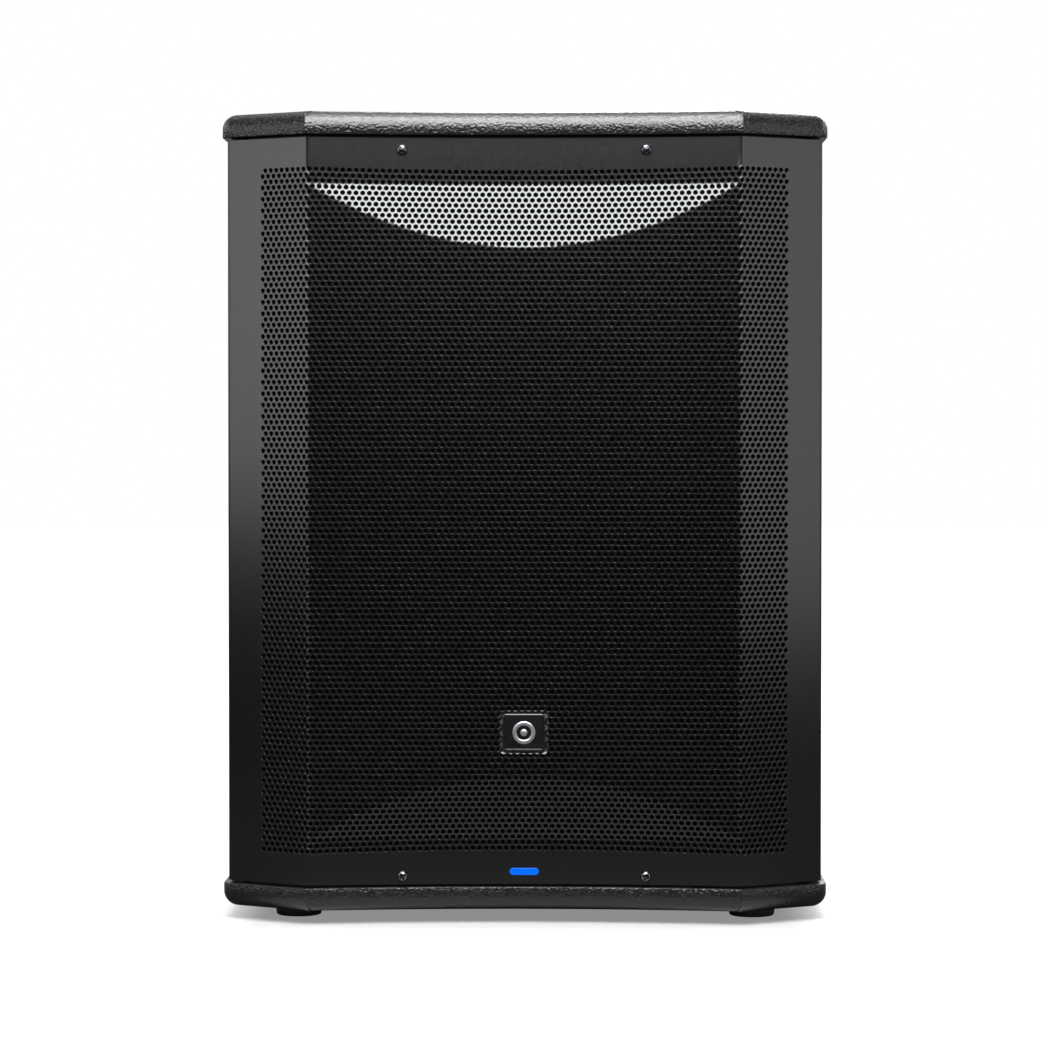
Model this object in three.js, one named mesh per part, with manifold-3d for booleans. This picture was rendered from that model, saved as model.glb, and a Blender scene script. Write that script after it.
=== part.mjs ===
// Powered subwoofer cabinet, 15-inch class, as an assembly of separate pieces.
// Millimetres, +Z up, the grille faces -Y. The origin is on the floor, under the middle of the cabinet.
import * as THREE from 'three';
import { mergeVertices } from 'three/addons/utils/BufferGeometryUtils.js';
import Module from 'manifold-3d';

const wasm = await Module();
wasm.setup();

// ---------- Driving dimensions ----------
const HEIGHT = 616.6; // floor to the top face
const DEPTH = 580; // end boards, front to back
const BODY_WIDTH = 455; // over the side boards
const OVERHANG = 4; // end boards past the side boards
const BOARD = 18; // plywood thickness
const GAP = 0.3; // between neighbouring pieces
const FOOT_HEIGHT = 10;
const FOOT_RADIUS = 19.5;
const FOOT_X = 175.5;
const EDGE_ROUND = 11.5; // outer edge of the end boards
const CORNER_ROUND = 13; // end boards seen from above

const RIDGE_X = 163.5; // from the middle to each front fold of the grille
const WING_ANGLE = THREE.MathUtils.degToRad(30.5);
const LIP = 6; // end boards in front of the grille
const HOLLOW = 14; // how far the grille's end bands curve in at the middle
const FACET_HEIGHT = 48.5; // of the lens-shaped facets, at the middle
const FACET_EDGE_TOP = 561.5; // height of the fold over the upper facet
const FACET_EDGE_BOTTOM = 64.8; // height of the fold under the lower facet
const SHEET = 1.5; // grille steel
const SHADOW_GAP = 1.8; // grille to each end board
const RETURN_DEPTH = 12; // the grille's side flanges
const FOAM = 4;

const BAFFLE_SETBACK = 56; // grille ridge to the baffle's front face
const RAIL_HEIGHT = 20;
const BACK_RECESS = 18; // back board inside the side boards' rear edges
const REAR_PLATE = 3;

const DRIVER_Z = 380; // axis height
const DRIVER_RADIUS = 194;
const CUTOUT_RADIUS = 176;
const PORT_X = 110;
const PORT_Z = 112;
const PORT_RADIUS = 50;
const PORT_LENGTH = 200;

const HANDLE_Z = 400;
const HANDLE_LENGTH = 165; // pocket, front to back
const HANDLE_HEIGHT = 105;
const HANDLE_DEPTH = 58;
const POLE_RADIUS = 18; // socket for a 35 mm pole
const POLE_DEPTH = 80;

const AMP_Z = 330; // middle of the amplifier plate
const AMP_WIDTH = 290;
const AMP_HEIGHT = 430;

const SCREW_X = 92.5;
const SCREW_Z_TOP = 587.6;
const SCREW_Z_BOTTOM = 36;
const LED_Z = 39.3;
const BADGE_Z = 146.4;

const LARGE_STEPS = 24; // sides on the driver's and ports' round pieces
const SMALL_STEPS = 14; // sides on knobs, sockets and feet
const TINY_STEPS = 10; // sides on screws and pins
const FRONT_STEPS = 12; // straight pieces in the hollow front

// ---------- Places worked out from them ----------
const FRONT_Y = -DEPTH / 2;
const BACK_Y = DEPTH / 2;
const RIDGE_Y = FRONT_Y + LIP;
const HALF_BODY = BODY_WIDTH / 2;
const HALF_SLAB = HALF_BODY + OVERHANG;
const WING_SLOPE = Math.tan(WING_ANGLE);
const WING_END_Y = RIDGE_Y + (HALF_BODY - RIDGE_X) * WING_SLOPE;
const SLAB_RIDGE_X = RIDGE_X + LIP * Math.tan(WING_ANGLE / 2);
const BOTTOM_TOP = FOOT_HEIGHT + BOARD;
const TOP_UNDER = HEIGHT - BOARD;
const INNER_X = HALF_BODY - BOARD;
const BAFFLE_Y = RIDGE_Y + BAFFLE_SETBACK;
const SIDE_FRONT_Y = BAFFLE_Y - 4;
const SIDE_BACK_Y = BACK_Y - OVERHANG;
const BACK_OUTER_Y = SIDE_BACK_Y - BACK_RECESS;
const PLATE_INNER_Y = BACK_OUTER_Y + GAP;
const PLATE_Y = PLATE_INNER_Y + REAR_PLATE;

// ---------- Solids ----------
// A geometry's triangles on shared corners, without the slivers at an axis, facing out.
function trianglesOf(geometry) {
  const bare = geometry.clone();
  bare.deleteAttribute('normal');
  bare.deleteAttribute('uv');
  const merged = mergeVertices(bare, 1e-4);
  const points = merged.getAttribute('position').array;
  const triangles = [];
  let volume = 0;
  const corner = (k) => new THREE.Vector3().fromArray(points, 3 * k);
  for (let k = 0; k < merged.index.count; k += 3) {
    const [a, b, c] = [0, 1, 2].map((n) => merged.index.getX(k + n));
    if (a === b || b === c || c === a) continue;
    triangles.push([a, b, c]);
    volume += corner(a).dot(corner(b).cross(corner(c)));
  }
  if (volume < 0) triangles.forEach((t) => t.reverse());
  return { points, triangles };
}

function solid(geometry) {
  const { points, triangles } = trianglesOf(geometry);
  return new wasm.Manifold(
    new wasm.Mesh({
      numProp: 3,
      vertProperties: new Float32Array(points),
      triVerts: new Uint32Array(triangles.flat()),
    }),
  );
}

function geometryOf(body) {
  const { vertProperties, triVerts } = body.getMesh();
  const geometry = new THREE.BufferGeometry();
  geometry.setAttribute('position', new THREE.BufferAttribute(vertProperties, 3));
  geometry.setIndex(new THREE.BufferAttribute(triVerts, 1));
  geometry.computeVertexNormals();
  return geometry;
}

const join = (first, ...others) => others.reduce((whole, other) => whole.add(other), first);
const cut = (first, ...tools) => tools.reduce((whole, tool) => whole.subtract(tool), first);

// A box from its lowest to its highest corner.
function box(low, high) {
  const size = high.map((value, k) => value - low[k]);
  const centre = high.map((value, k) => (value + low[k]) / 2);
  return solid(new THREE.BoxGeometry(...size).translate(...centre));
}

// A shape drawn in X and Y, from z0 up to z1.
function prismZ(shape, z0, z1, curveSegments = 6) {
  const options = { depth: z1 - z0, bevelEnabled: false, curveSegments };
  return solid(new THREE.ExtrudeGeometry(shape, options).translate(0, 0, z0));
}

// A shape drawn in X and Z, from y0 back to y1.
function prismY(shape, y0, y1, curveSegments = 6) {
  const options = { depth: y1 - y0, bevelEnabled: false, curveSegments };
  return solid(new THREE.ExtrudeGeometry(shape, options).rotateX(Math.PI / 2).translate(0, y1, 0));
}

// A shape drawn in Y and Z, from x0 to x1.
function prismX(shape, x0, x1, curveSegments = 6) {
  const options = { depth: x1 - x0, bevelEnabled: false, curveSegments };
  const turn = new THREE.Matrix4().makeBasis(
    new THREE.Vector3(0, 1, 0),
    new THREE.Vector3(0, 0, 1),
    new THREE.Vector3(1, 0, 0),
  );
  return solid(new THREE.ExtrudeGeometry(shape, options).applyMatrix4(turn).translate(x0, 0, 0));
}

// A profile of [radius, y] pairs turned about a line along Y, at x and z.
function turnedY(profile, x, z, steps, closed = false) {
  const points = profile.map(([radius, y]) => new THREE.Vector2(radius, y));
  if (closed) points.push(points[0].clone());
  return solid(new THREE.LatheGeometry(points, steps).translate(x, 0, z));
}

// A profile of [radius, z] pairs turned about a line along Z, at x and y.
function turnedZ(profile, x, y, steps, closed = false) {
  const points = profile.map(([radius, z]) => new THREE.Vector2(radius, z));
  if (closed) points.push(points[0].clone());
  return solid(new THREE.LatheGeometry(points, steps).rotateX(Math.PI / 2).translate(x, y, 0));
}

const rodY = (radius, y0, y1, x, z, steps) =>
  turnedY([[0, y0], [radius, y0], [radius, y1], [0, y1]], x, z, steps);
const rodZ = (radius, z0, z1, x, y, steps) =>
  turnedZ([[0, z0], [radius, z0], [radius, z1], [0, z1]], x, y, steps);

function roundedRect(width, height, radius, x = 0, y = 0) {
  const shape = new THREE.Shape();
  const [w, h] = [width / 2, height / 2];
  shape.moveTo(x - w + radius, y - h);
  shape.lineTo(x + w - radius, y - h);
  shape.absarc(x + w - radius, y - h + radius, radius, -Math.PI / 2, 0);
  shape.lineTo(x + w, y + h - radius);
  shape.absarc(x + w - radius, y + h - radius, radius, 0, Math.PI / 2);
  shape.lineTo(x - w + radius, y + h);
  shape.absarc(x - w + radius, y + h - radius, radius, Math.PI / 2, Math.PI);
  shape.lineTo(x - w, y - h + radius);
  shape.absarc(x - w + radius, y - h + radius, radius, Math.PI, 1.5 * Math.PI);
  return shape;
}

const pieces = new THREE.Group();

function piece(name, body, color, roughness, metalness = 0) {
  const material = new THREE.MeshStandardMaterial({ color, roughness, metalness });
  const mesh = new THREE.Mesh(geometryOf(body), material);
  mesh.name = name;
  pieces.add(mesh);
}

// ---------- The hollow, winged front ----------
// How far the front lies behind its ridge at x: hollow between the ridges, slanted on the wings.
function hollowAt(x) {
  const u = Math.min(Math.abs(x) / RIDGE_X, 1);
  return HOLLOW * (1 - u * u);
}
const wingAt = (x) => Math.max(Math.abs(x) - RIDGE_X, 0) * WING_SLOPE;

// How far the grille sheet lies behind its ridge: flat in the middle, hollow in the end bands,
// with a slanted facet between them.
function sheetDepth(x, z) {
  const reach = (FACET_HEIGHT * hollowAt(x)) / HOLLOW;
  const past = Math.max(z - (FACET_EDGE_TOP - reach), FACET_EDGE_BOTTOM + reach - z, 0);
  return Math.min((past * HOLLOW) / FACET_HEIGHT, hollowAt(x)) + wingAt(x);
}

// The heights at which the sheet changes slope, at x.
function sheetHeights(x, z0, z1) {
  const reach = (FACET_HEIGHT * hollowAt(x)) / HOLLOW;
  return [z0, FACET_EDGE_BOTTOM, FACET_EDGE_BOTTOM + reach, FACET_EDGE_TOP - reach, FACET_EDGE_TOP, z1];
}

const frontColumns = Array.from(
  { length: FRONT_STEPS + 1 },
  (_, k) => RIDGE_X * ((2 * k) / FRONT_STEPS - 1),
);

// A closed sheet between two grids of points with the same rows and columns.
function sheetSolid(front, back) {
  const [rows, columns] = [front.length, front[0].length];
  const points = [...front.flat(), ...back.flat()].flat();
  const at = (side, row, column) => side * rows * columns + row * columns + column;
  const index = [];
  const quad = (a, b, c, d) => index.push(a, b, c, a, c, d);
  for (let r = 0; r + 1 < rows; r++) {
    for (let c = 0; c + 1 < columns; c++) {
      quad(at(0, r, c), at(0, r, c + 1), at(0, r + 1, c + 1), at(0, r + 1, c));
      quad(at(1, r, c), at(1, r + 1, c), at(1, r + 1, c + 1), at(1, r, c + 1));
    }
    quad(at(0, r + 1, 0), at(1, r + 1, 0), at(1, r, 0), at(0, r, 0));
    quad(at(0, r, columns - 1), at(1, r, columns - 1), at(1, r + 1, columns - 1), at(0, r + 1, columns - 1));
  }
  for (let c = 0; c + 1 < columns; c++) {
    quad(at(0, 0, c + 1), at(0, 0, c), at(1, 0, c), at(1, 0, c + 1));
    quad(at(0, rows - 1, c), at(0, rows - 1, c + 1), at(1, rows - 1, c + 1), at(1, rows - 1, c));
  }
  const geometry = new THREE.BufferGeometry();
  geometry.setAttribute('position', new THREE.BufferAttribute(new Float32Array(points), 3));
  geometry.setIndex(index);
  return solid(geometry);
}

function grilleBody() {
  const edge = HALF_BODY;
  const flange = WING_END_Y + RETURN_DEPTH;
  const miter = SHEET * Math.tan(WING_ANGLE / 2);
  const cornerMiter = SHEET * Math.tan((Math.PI / 2 - WING_ANGLE) / 2);
  // Each column: its x and y on the outer face, and the way to the inner face.
  const middle = frontColumns.map((x) => ({ x, y: null, inward: [0, SHEET] }));
  middle[0].inward = [miter, SHEET];
  middle[FRONT_STEPS].inward = [-miter, SHEET];
  const wing = (side) => [
    { x: side * edge, y: WING_END_Y, inward: [-side * SHEET, cornerMiter] },
    { x: side * edge, y: flange, inward: [-side * SHEET, 0] },
  ];
  const columns = [...wing(-1).reverse(), ...middle, ...wing(1)];
  const skin = (share) => Array.from({ length: 6 }, (_, row) => columns.map(({ x, y, inward }) => {
    const z = sheetHeights(x, BOTTOM_TOP + SHADOW_GAP, TOP_UNDER - SHADOW_GAP)[row];
    const outer = y ?? RIDGE_Y + sheetDepth(x, z);
    return [x + share * inward[0], outer + share * inward[1], z];
  }));
  return sheetSolid(skin(0), skin(1));
}

function foamBody() {
  const edge = INNER_X + 3;
  const columns = [-edge, ...frontColumns, edge];
  const [low, high] = [BOTTOM_TOP + RAIL_HEIGHT + 1, TOP_UNDER - RAIL_HEIGHT - 1];
  const start = SHEET / Math.cos(WING_ANGLE) + 0.6;
  const skin = (behind) => Array.from({ length: 6 }, (_, row) => columns.map((x) => {
    const z = sheetHeights(x, low, high)[row];
    return [x, RIDGE_Y + sheetDepth(x, z) + behind, z];
  }));
  return sheetSolid(skin(start), skin(start + FOAM));
}

function addGrille() {
  const screws = [];
  for (const [level, z] of [['top', SCREW_Z_TOP], ['bottom', SCREW_Z_BOTTOM]]) {
    for (const [side, x] of [['left', -SCREW_X], ['right', SCREW_X]]) {
      screws.push({ name: `grille_screw_${level}_${side}`, x, z });
    }
  }
  const holes = screws.map(({ x, z }) => rodY(3, FRONT_Y, BAFFLE_Y, x, z, TINY_STEPS));
  const ledHole = prismY(roundedRect(23.6, 6.6, 3.25, 0, LED_Z), FRONT_Y, BAFFLE_Y);
  const badgeHole = prismY(roundedRect(33, 31, 3.5, 0, BADGE_Z - 0.8), FRONT_Y, RIDGE_Y + 3);
  piece('grille', cut(grilleBody(), ...holes, ledHole, badgeHole), 0x1b1c1e, 0.45, 0.6);
  piece('grille_foam', foamBody(), 0x060606, 0.95);

  const [headRadius, headHeight, shank] = [4.5, 3, 18];
  for (const { name, x, z } of screws) {
    const seat = RIDGE_Y + hollowAt(x) - 0.5;
    const profile = [
      [0, seat - headHeight], [headRadius * 0.55, seat - headHeight], [headRadius, seat - headHeight / 2],
      [headRadius, seat], [2.4, seat], [2.4, seat + shank], [0, seat + shank],
    ];
    piece(name, turnedY(profile, x, z, TINY_STEPS), 0x15161a, 0.35, 0.8);
  }
  const ledFront = RIDGE_Y + HOLLOW - 0.8;
  piece('led_lens', prismY(roundedRect(23, 6, 2.95, 0, LED_Z), ledFront, ledFront + 9), 0x1a6dff, 0.3);
  const badge = prismY(roundedRect(32, 28.5, 3, 0, BADGE_Z), RIDGE_Y - 2, RIDGE_Y + 1.4);
  piece('badge', badge, 0x2a2c2e, 0.4, 0.3);
}

// ---------- The plywood box ----------
// Corners with fillets, as a list of points; each corner is [x, y, radius].
function filleted(corners, steps = 4) {
  return corners.flatMap(([x, y, radius = 0], k) => {
    const here = new THREE.Vector2(x, y);
    if (radius === 0) return [here];
    const neighbour = (n) => new THREE.Vector2(...corners[(k + n + corners.length) % corners.length].slice(0, 2));
    const before = neighbour(-1).sub(here).normalize();
    const after = neighbour(1).sub(here).normalize();
    const half = before.angleTo(after) / 2;
    const bisector = before.clone().add(after).normalize();
    const centre = here.clone().addScaledVector(bisector, radius / Math.sin(half));
    const start = here.clone().addScaledVector(before, radius / Math.tan(half)).sub(centre);
    const end = here.clone().addScaledVector(after, radius / Math.tan(half)).sub(centre);
    const turn = Math.atan2(start.cross(end), start.dot(end));
    return Array.from({ length: steps + 1 }, (_, n) =>
      start.clone().rotateAround(new THREE.Vector2(), (turn * n) / steps).add(centre));
  });
}

// The outline moved inwards by a distance; it runs anticlockwise.
function insetOutline(outline, distance) {
  return outline.map((here, k) => {
    const before = outline[(k + outline.length - 1) % outline.length];
    const after = outline[(k + 1) % outline.length];
    const first = here.clone().sub(before).normalize();
    const second = after.clone().sub(here).normalize();
    const normals = new THREE.Vector2(-first.y - second.y, first.x + second.x);
    return here.clone().addScaledVector(normals, distance / (1 + first.dot(second)));
  });
}

function endBoardOutline() {
  const front = frontColumns.map((x) => {
    const u = x / RIDGE_X;
    return [u * SLAB_RIDGE_X, FRONT_Y + HOLLOW * (1 - u * u)];
  });
  const wingEnd = FRONT_Y + (HALF_SLAB - SLAB_RIDGE_X) * WING_SLOPE;
  return filleted([
    ...front,
    [HALF_SLAB, wingEnd, CORNER_ROUND],
    [HALF_SLAB, BACK_Y, CORNER_ROUND],
    [-HALF_SLAB, BACK_Y, CORNER_ROUND],
    [-HALF_SLAB, wingEnd, CORNER_ROUND],
  ]);
}

// An end board whose outer edge, at z = outer, is rounded; its inner edge, at z = inner, is square.
function endBoard(inner, outer) {
  const outline = endBoardOutline();
  const way = Math.sign(outer - inner);
  const steps = 4;
  const layers = [{ z: inner, inset: 0 }];
  for (let k = 0; k <= steps; k++) {
    const angle = (k / steps) * (Math.PI / 2);
    const z = outer - way * EDGE_ROUND * (1 - Math.sin(angle));
    layers.push({ z, inset: EDGE_ROUND * (1 - Math.cos(angle)) });
  }
  const count = outline.length;
  const points = layers.flatMap(({ z, inset }) => insetOutline(outline, inset).flatMap(({ x, y }) => [x, y, z]));
  const index = [];
  for (let layer = 0; layer + 1 < layers.length; layer++) {
    for (let k = 0; k < count; k++) {
      const [a, b] = [layer * count + k, layer * count + ((k + 1) % count)];
      index.push(a, b, b + count, a, b + count, a + count);
    }
  }
  const last = (layers.length - 1) * count;
  for (const [a, b, c] of THREE.ShapeUtils.triangulateShape(outline, [])) {
    index.push(c, b, a);
  }
  for (const [a, b, c] of THREE.ShapeUtils.triangulateShape(insetOutline(outline, EDGE_ROUND), [])) {
    index.push(last + a, last + b, last + c);
  }
  const geometry = new THREE.BufferGeometry();
  geometry.setAttribute('position', new THREE.BufferAttribute(new Float32Array(points), 3));
  geometry.setIndex(index);
  return solid(geometry);
}

const PAINT = [0x1a1a1b, 0.6];
const PLY = [0x8a6a45, 0.8];

function addEndBoards() {
  const poleHole = join(
    rodZ(24, TOP_UNDER - 1, HEIGHT + 1, 0, 0, LARGE_STEPS),
    rodZ(55.5, HEIGHT - 3.5, HEIGHT + 1, 0, 0, LARGE_STEPS),
  );
  piece('top_panel', cut(endBoard(TOP_UNDER, HEIGHT), poleHole), ...PAINT);
  piece('bottom_panel', endBoard(BOTTOM_TOP, FOOT_HEIGHT), ...PAINT);
}

function addSideBoards() {
  const [z0, z1] = [BOTTOM_TOP + GAP, TOP_UNDER - GAP];
  const pocket = roundedRect(HANDLE_LENGTH + 8, HANDLE_HEIGHT + 8, 16, 0, HANDLE_Z);
  for (const [side, x0, x1] of [
    ['left', -HALF_BODY, -INNER_X],
    ['right', INNER_X, HALF_BODY],
  ]) {
    const board = box([x0, SIDE_FRONT_Y, z0], [x1, SIDE_BACK_Y, z1]);
    piece(`${side}_side_panel`, cut(board, prismX(pocket, x0 - 1, x1 + 1, 3)), ...PAINT);
  }
}

function addInnerBoards() {
  const edge = INNER_X - GAP;
  const [z0, z1] = [BOTTOM_TOP + GAP, TOP_UNDER - GAP];
  const baffle = box([-edge, BAFFLE_Y, z0], [edge, BAFFLE_Y + BOARD, z1]);
  const through = [BAFFLE_Y - 1, BAFFLE_Y + BOARD + 1];
  const driverHole = rodY(CUTOUT_RADIUS, ...through, 0, DRIVER_Z, LARGE_STEPS);
  const portHoles = [-PORT_X, PORT_X].map((x) => rodY(PORT_RADIUS + 4, ...through, x, PORT_Z, LARGE_STEPS));
  piece('front_baffle', cut(baffle, driverHole, ...portHoles), ...PAINT);

  const back = box([-edge, BACK_OUTER_Y - BOARD, z0], [edge, BACK_OUTER_Y, z1]);
  const opening = box(
    [-AMP_WIDTH / 2 + 10, BACK_OUTER_Y - BOARD - 1, AMP_Z - AMP_HEIGHT / 2 + 10],
    [AMP_WIDTH / 2 - 10, BACK_OUTER_Y + 1, AMP_Z + AMP_HEIGHT / 2 - 10],
  );
  piece('back_panel', cut(back, opening), ...PAINT);

  const braceY = 118;
  const [rim, bar] = [52, 28];
  const brace = box([-edge, braceY, z0], [edge, braceY + BOARD, z1]);
  const middle = (z0 + z1) / 2;
  const windows = [[z0 + rim, middle - bar], [middle + bar, z1 - rim]].map(([low, high]) =>
    box([-edge + rim, braceY - 1, low], [edge - rim, braceY + BOARD + 1, high]));
  piece('window_brace', cut(brace, ...windows), ...PLY);
}

// A batten behind each end band of the grille; the grille screws into it.
function addGrilleRails() {
  const edge = INNER_X - GAP;
  const behind = SHEET / Math.cos(WING_ANGLE) + GAP;
  const outline = [edge, ...frontColumns.slice().reverse(), -edge]
    .map((x) => new THREE.Vector2(x, RIDGE_Y + hollowAt(x) + wingAt(x) + behind));
  outline.push(new THREE.Vector2(-edge, BAFFLE_Y - GAP), new THREE.Vector2(edge, BAFFLE_Y - GAP));
  const shape = new THREE.Shape(outline);
  const pilots = (z) => [-SCREW_X, SCREW_X].map((x) => rodY(2.8, FRONT_Y, RIDGE_Y + 34, x, z, TINY_STEPS));
  const top = prismZ(shape, TOP_UNDER - RAIL_HEIGHT, TOP_UNDER - GAP);
  piece('grille_rail_top', cut(top, ...pilots(SCREW_Z_TOP)), ...PLY);
  const bottom = prismZ(shape, BOTTOM_TOP + GAP, BOTTOM_TOP + RAIL_HEIGHT);
  const ledHole = prismY(roundedRect(24, 7, 3.45, 0, LED_Z), FRONT_Y, BAFFLE_Y);
  piece('grille_rail_bottom', cut(bottom, ...pilots(SCREW_Z_BOTTOM), ledHole), ...PLY);
}

function addFeet() {
  const [frontY, backY] = [RIDGE_Y + 64, BACK_Y - 60];
  for (const [end, y] of [['front', frontY], ['rear', backY]]) {
    for (const [side, x] of [['left', -FOOT_X], ['right', FOOT_X]]) {
      const profile = [
        [0, 0], [FOOT_RADIUS - 3, 0], [FOOT_RADIUS - 1.5, 1.5],
        [FOOT_RADIUS, FOOT_HEIGHT - 0.05], [0, FOOT_HEIGHT - 0.05],
      ];
      piece(`foot_${end}_${side}`, turnedZ(profile, x, y, SMALL_STEPS), 0x101010, 0.9);
    }
  }
}

// ---------- Pole socket and handles ----------
function addPoleCup() {
  const floor = HEIGHT - POLE_DEPTH;
  const profile = [
    [0, floor - 4], [POLE_RADIUS + 3, floor - 4], [POLE_RADIUS + 3, HEIGHT - 3.2], [55, HEIGHT - 3.2],
    [55, HEIGHT - 1], [54, HEIGHT], [POLE_RADIUS + 2, HEIGHT], [POLE_RADIUS, HEIGHT - 2],
    [POLE_RADIUS, floor], [0, floor],
  ];
  piece('pole_cup', turnedZ(profile, 0, 0, LARGE_STEPS), 0x202022, 0.4, 0.7);
}

function addHandles() {
  const wall = 2.5;
  const flange = 2.6;
  const barHeight = HANDLE_Z + 20;
  for (const [side, sign] of [['left', -1], ['right', 1]]) {
    const at = (depth) => sign * (HALF_BODY - depth);
    const slab = (shape, from, to) => prismX(shape, Math.min(at(from), at(to)), Math.max(at(from), at(to)), 3);
    const plate = slab(roundedRect(HANDLE_LENGTH + 34, HANDLE_HEIGHT + 34, 20, 0, HANDLE_Z), -flange - GAP, -GAP);
    const shell = slab(roundedRect(HANDLE_LENGTH + 2 * wall, HANDLE_HEIGHT + 2 * wall, 14, 0, HANDLE_Z), -flange, HANDLE_DEPTH);
    const pocket = slab(roundedRect(HANDLE_LENGTH, HANDLE_HEIGHT, 12, 0, HANDLE_Z), -flange - 1, HANDLE_DEPTH - wall);
    const grip = solid(new THREE.CylinderGeometry(11, 11, HANDLE_LENGTH + wall, TINY_STEPS)
      .scale(0.85, 1, 1).translate(at(11), 0, barHeight));
    piece(`handle_${side}`, join(cut(join(plate, shell), pocket), grip), 0x171718, 0.5);
  }
}

// ---------- The driver: depths are behind the baffle's front face ----------
const driverPart = (profile, closed = true) =>
  turnedY(profile.map(([radius, depth]) => [radius, BAFFLE_Y + depth]), 0, DRIVER_Z, LARGE_STEPS, closed);

// Where the cone's front face is at a radius.
const CONE = { rim: 152, neck: 41, rimDepth: -5, neckDepth: 58 };
const coneDepth = (radius) =>
  CONE.rimDepth + ((CONE.rim - radius) / (CONE.rim - CONE.neck)) * (CONE.neckDepth - CONE.rimDepth);

// Half a ring's worth of arc, from one radius to another, bulging forwards.
function rollArc(inner, outer, depth, height, steps) {
  const [middle, half] = [(inner + outer) / 2, (outer - inner) / 2];
  return Array.from({ length: steps + 1 }, (_, k) => {
    const angle = (Math.PI * k) / steps;
    return [middle - half * Math.cos(angle), depth - height * Math.sin(angle)];
  });
}

function addBasket() {
  const shell = driverPart([
    [DRIVER_RADIUS, -5], [DRIVER_RADIUS, -GAP], [174, -GAP], [172, 14], [115, 72], [115, 77],
    [98, 98], [60, 101], [60, 97], [94, 94], [103, 79], [103, 74], [110, 70], [167, 11], [169, -5],
  ]);
  const windows = Array.from({ length: 6 }, (_, k) => solid(
    new THREE.BoxGeometry(62, 44, 120).translate(0, BAFFLE_Y + 42, 130)
      .rotateY((k / 6) * 2 * Math.PI).translate(0, 0, DRIVER_Z),
  ));
  piece('basket', cut(shell, ...windows), 0x222426, 0.5, 0.6);
}

function addDriver() {
  addBasket();
  const ring = (inner, outer, from, to) =>
    driverPart([[outer, from], [outer, to], [inner, to], [inner, from]]);
  piece('gasket', ring(178, 193, -8, -5.3), 0x0c0c0c, 0.9);

  const skin = 1.3;
  const rollOut = rollArc(153, 170.5, -5.4 - skin, 11, 4);
  const rollBack = rollArc(153 + skin, 170.5 - skin, -5.4, 11 - skin, 4).reverse();
  piece('surround', driverPart([
    [145, -5.4 - skin], ...rollOut, [177, -5.4 - skin], [177, -5.4], [170, -5.4],
    ...rollBack.slice(1, -1), [153.5, -5.4], [145, -5.4],
  ]), 0x0a0a0a, 0.85);

  const paper = 1.6;
  piece('cone', driverPart([
    [CONE.rim, CONE.rimDepth], [CONE.rim, CONE.rimDepth + paper], [146, coneDepth(146) + paper],
    [90, coneDepth(90) + paper + 2], [CONE.neck, CONE.neckDepth + paper], [CONE.neck - 1.8, CONE.neckDepth + paper],
    [CONE.neck - 1.8, CONE.neckDepth - 0.6], [90, coneDepth(90) + 2], [146, CONE.rimDepth],
  ]), 0x121212, 0.75);

  const [capRadius, capHeight] = [58, 22];
  const capArc = (radius, height, back) => Array.from({ length: 5 }, (_, k) => {
    const angle = (k / 4) * (Math.PI / 2);
    const rim = coneDepth(capRadius) + back;
    return [radius * Math.cos(angle), rim - height * Math.sin(angle)];
  });
  const outerCap = capArc(capRadius, capHeight, -1);
  const innerCap = capArc(capRadius - 1.5, capHeight - 1.5, -1).reverse();
  piece('dust_cap', driverPart([...outerCap, ...innerCap]), 0x0e0e0e, 0.6);

  piece('voice_coil', ring(37.5, 38.7, 59.8, 114), 0xb06a3a, 0.4, 0.7);
  const corrugated = [[42, 72], [52, 74], [64, 70], [76, 74], [88, 70], [98, 72]];
  piece('spider', driverPart([
    ...corrugated.map(([radius, depth]) => [radius, depth - 1]).reverse(), ...corrugated,
  ]), 0xb08a3c, 0.9);
  piece('driver_top_plate', ring(40.4, 85, 101.3, 109.3), 0x303234, 0.5, 0.9);
  piece('magnet', ring(46, 100, 109.6, 129.6), 0x1e1e20, 0.7, 0.2);
  piece('back_plate', driverPart([
    [85, 129.9], [85, 139.9], [14, 139.9], [14, 101.3], [36.3, 101.3], [36.3, 129.9],
  ]), 0x303234, 0.5, 0.9);
}

function addPorts() {
  const [wall, flange] = [3, 60];
  const flare = Array.from({ length: 4 }, (_, k) => {
    const angle = (k / 3) * (Math.PI / 2);
    return [PORT_RADIUS + 9 * (1 - Math.cos(angle)), BAFFLE_Y + 20 - 25 * Math.sin(angle)];
  });
  const profile = [
    [flange, BAFFLE_Y - 5], [flange, BAFFLE_Y - GAP], [PORT_RADIUS + wall, BAFFLE_Y - GAP],
    [PORT_RADIUS + wall, BAFFLE_Y + PORT_LENGTH], [PORT_RADIUS, BAFFLE_Y + PORT_LENGTH], ...flare,
  ];
  for (const [side, x] of [['left', -PORT_X], ['right', PORT_X]]) {
    piece(`port_tube_${side}`, turnedY(profile, x, PORT_Z, LARGE_STEPS, true), 0x131313, 0.6);
  }
}

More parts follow.
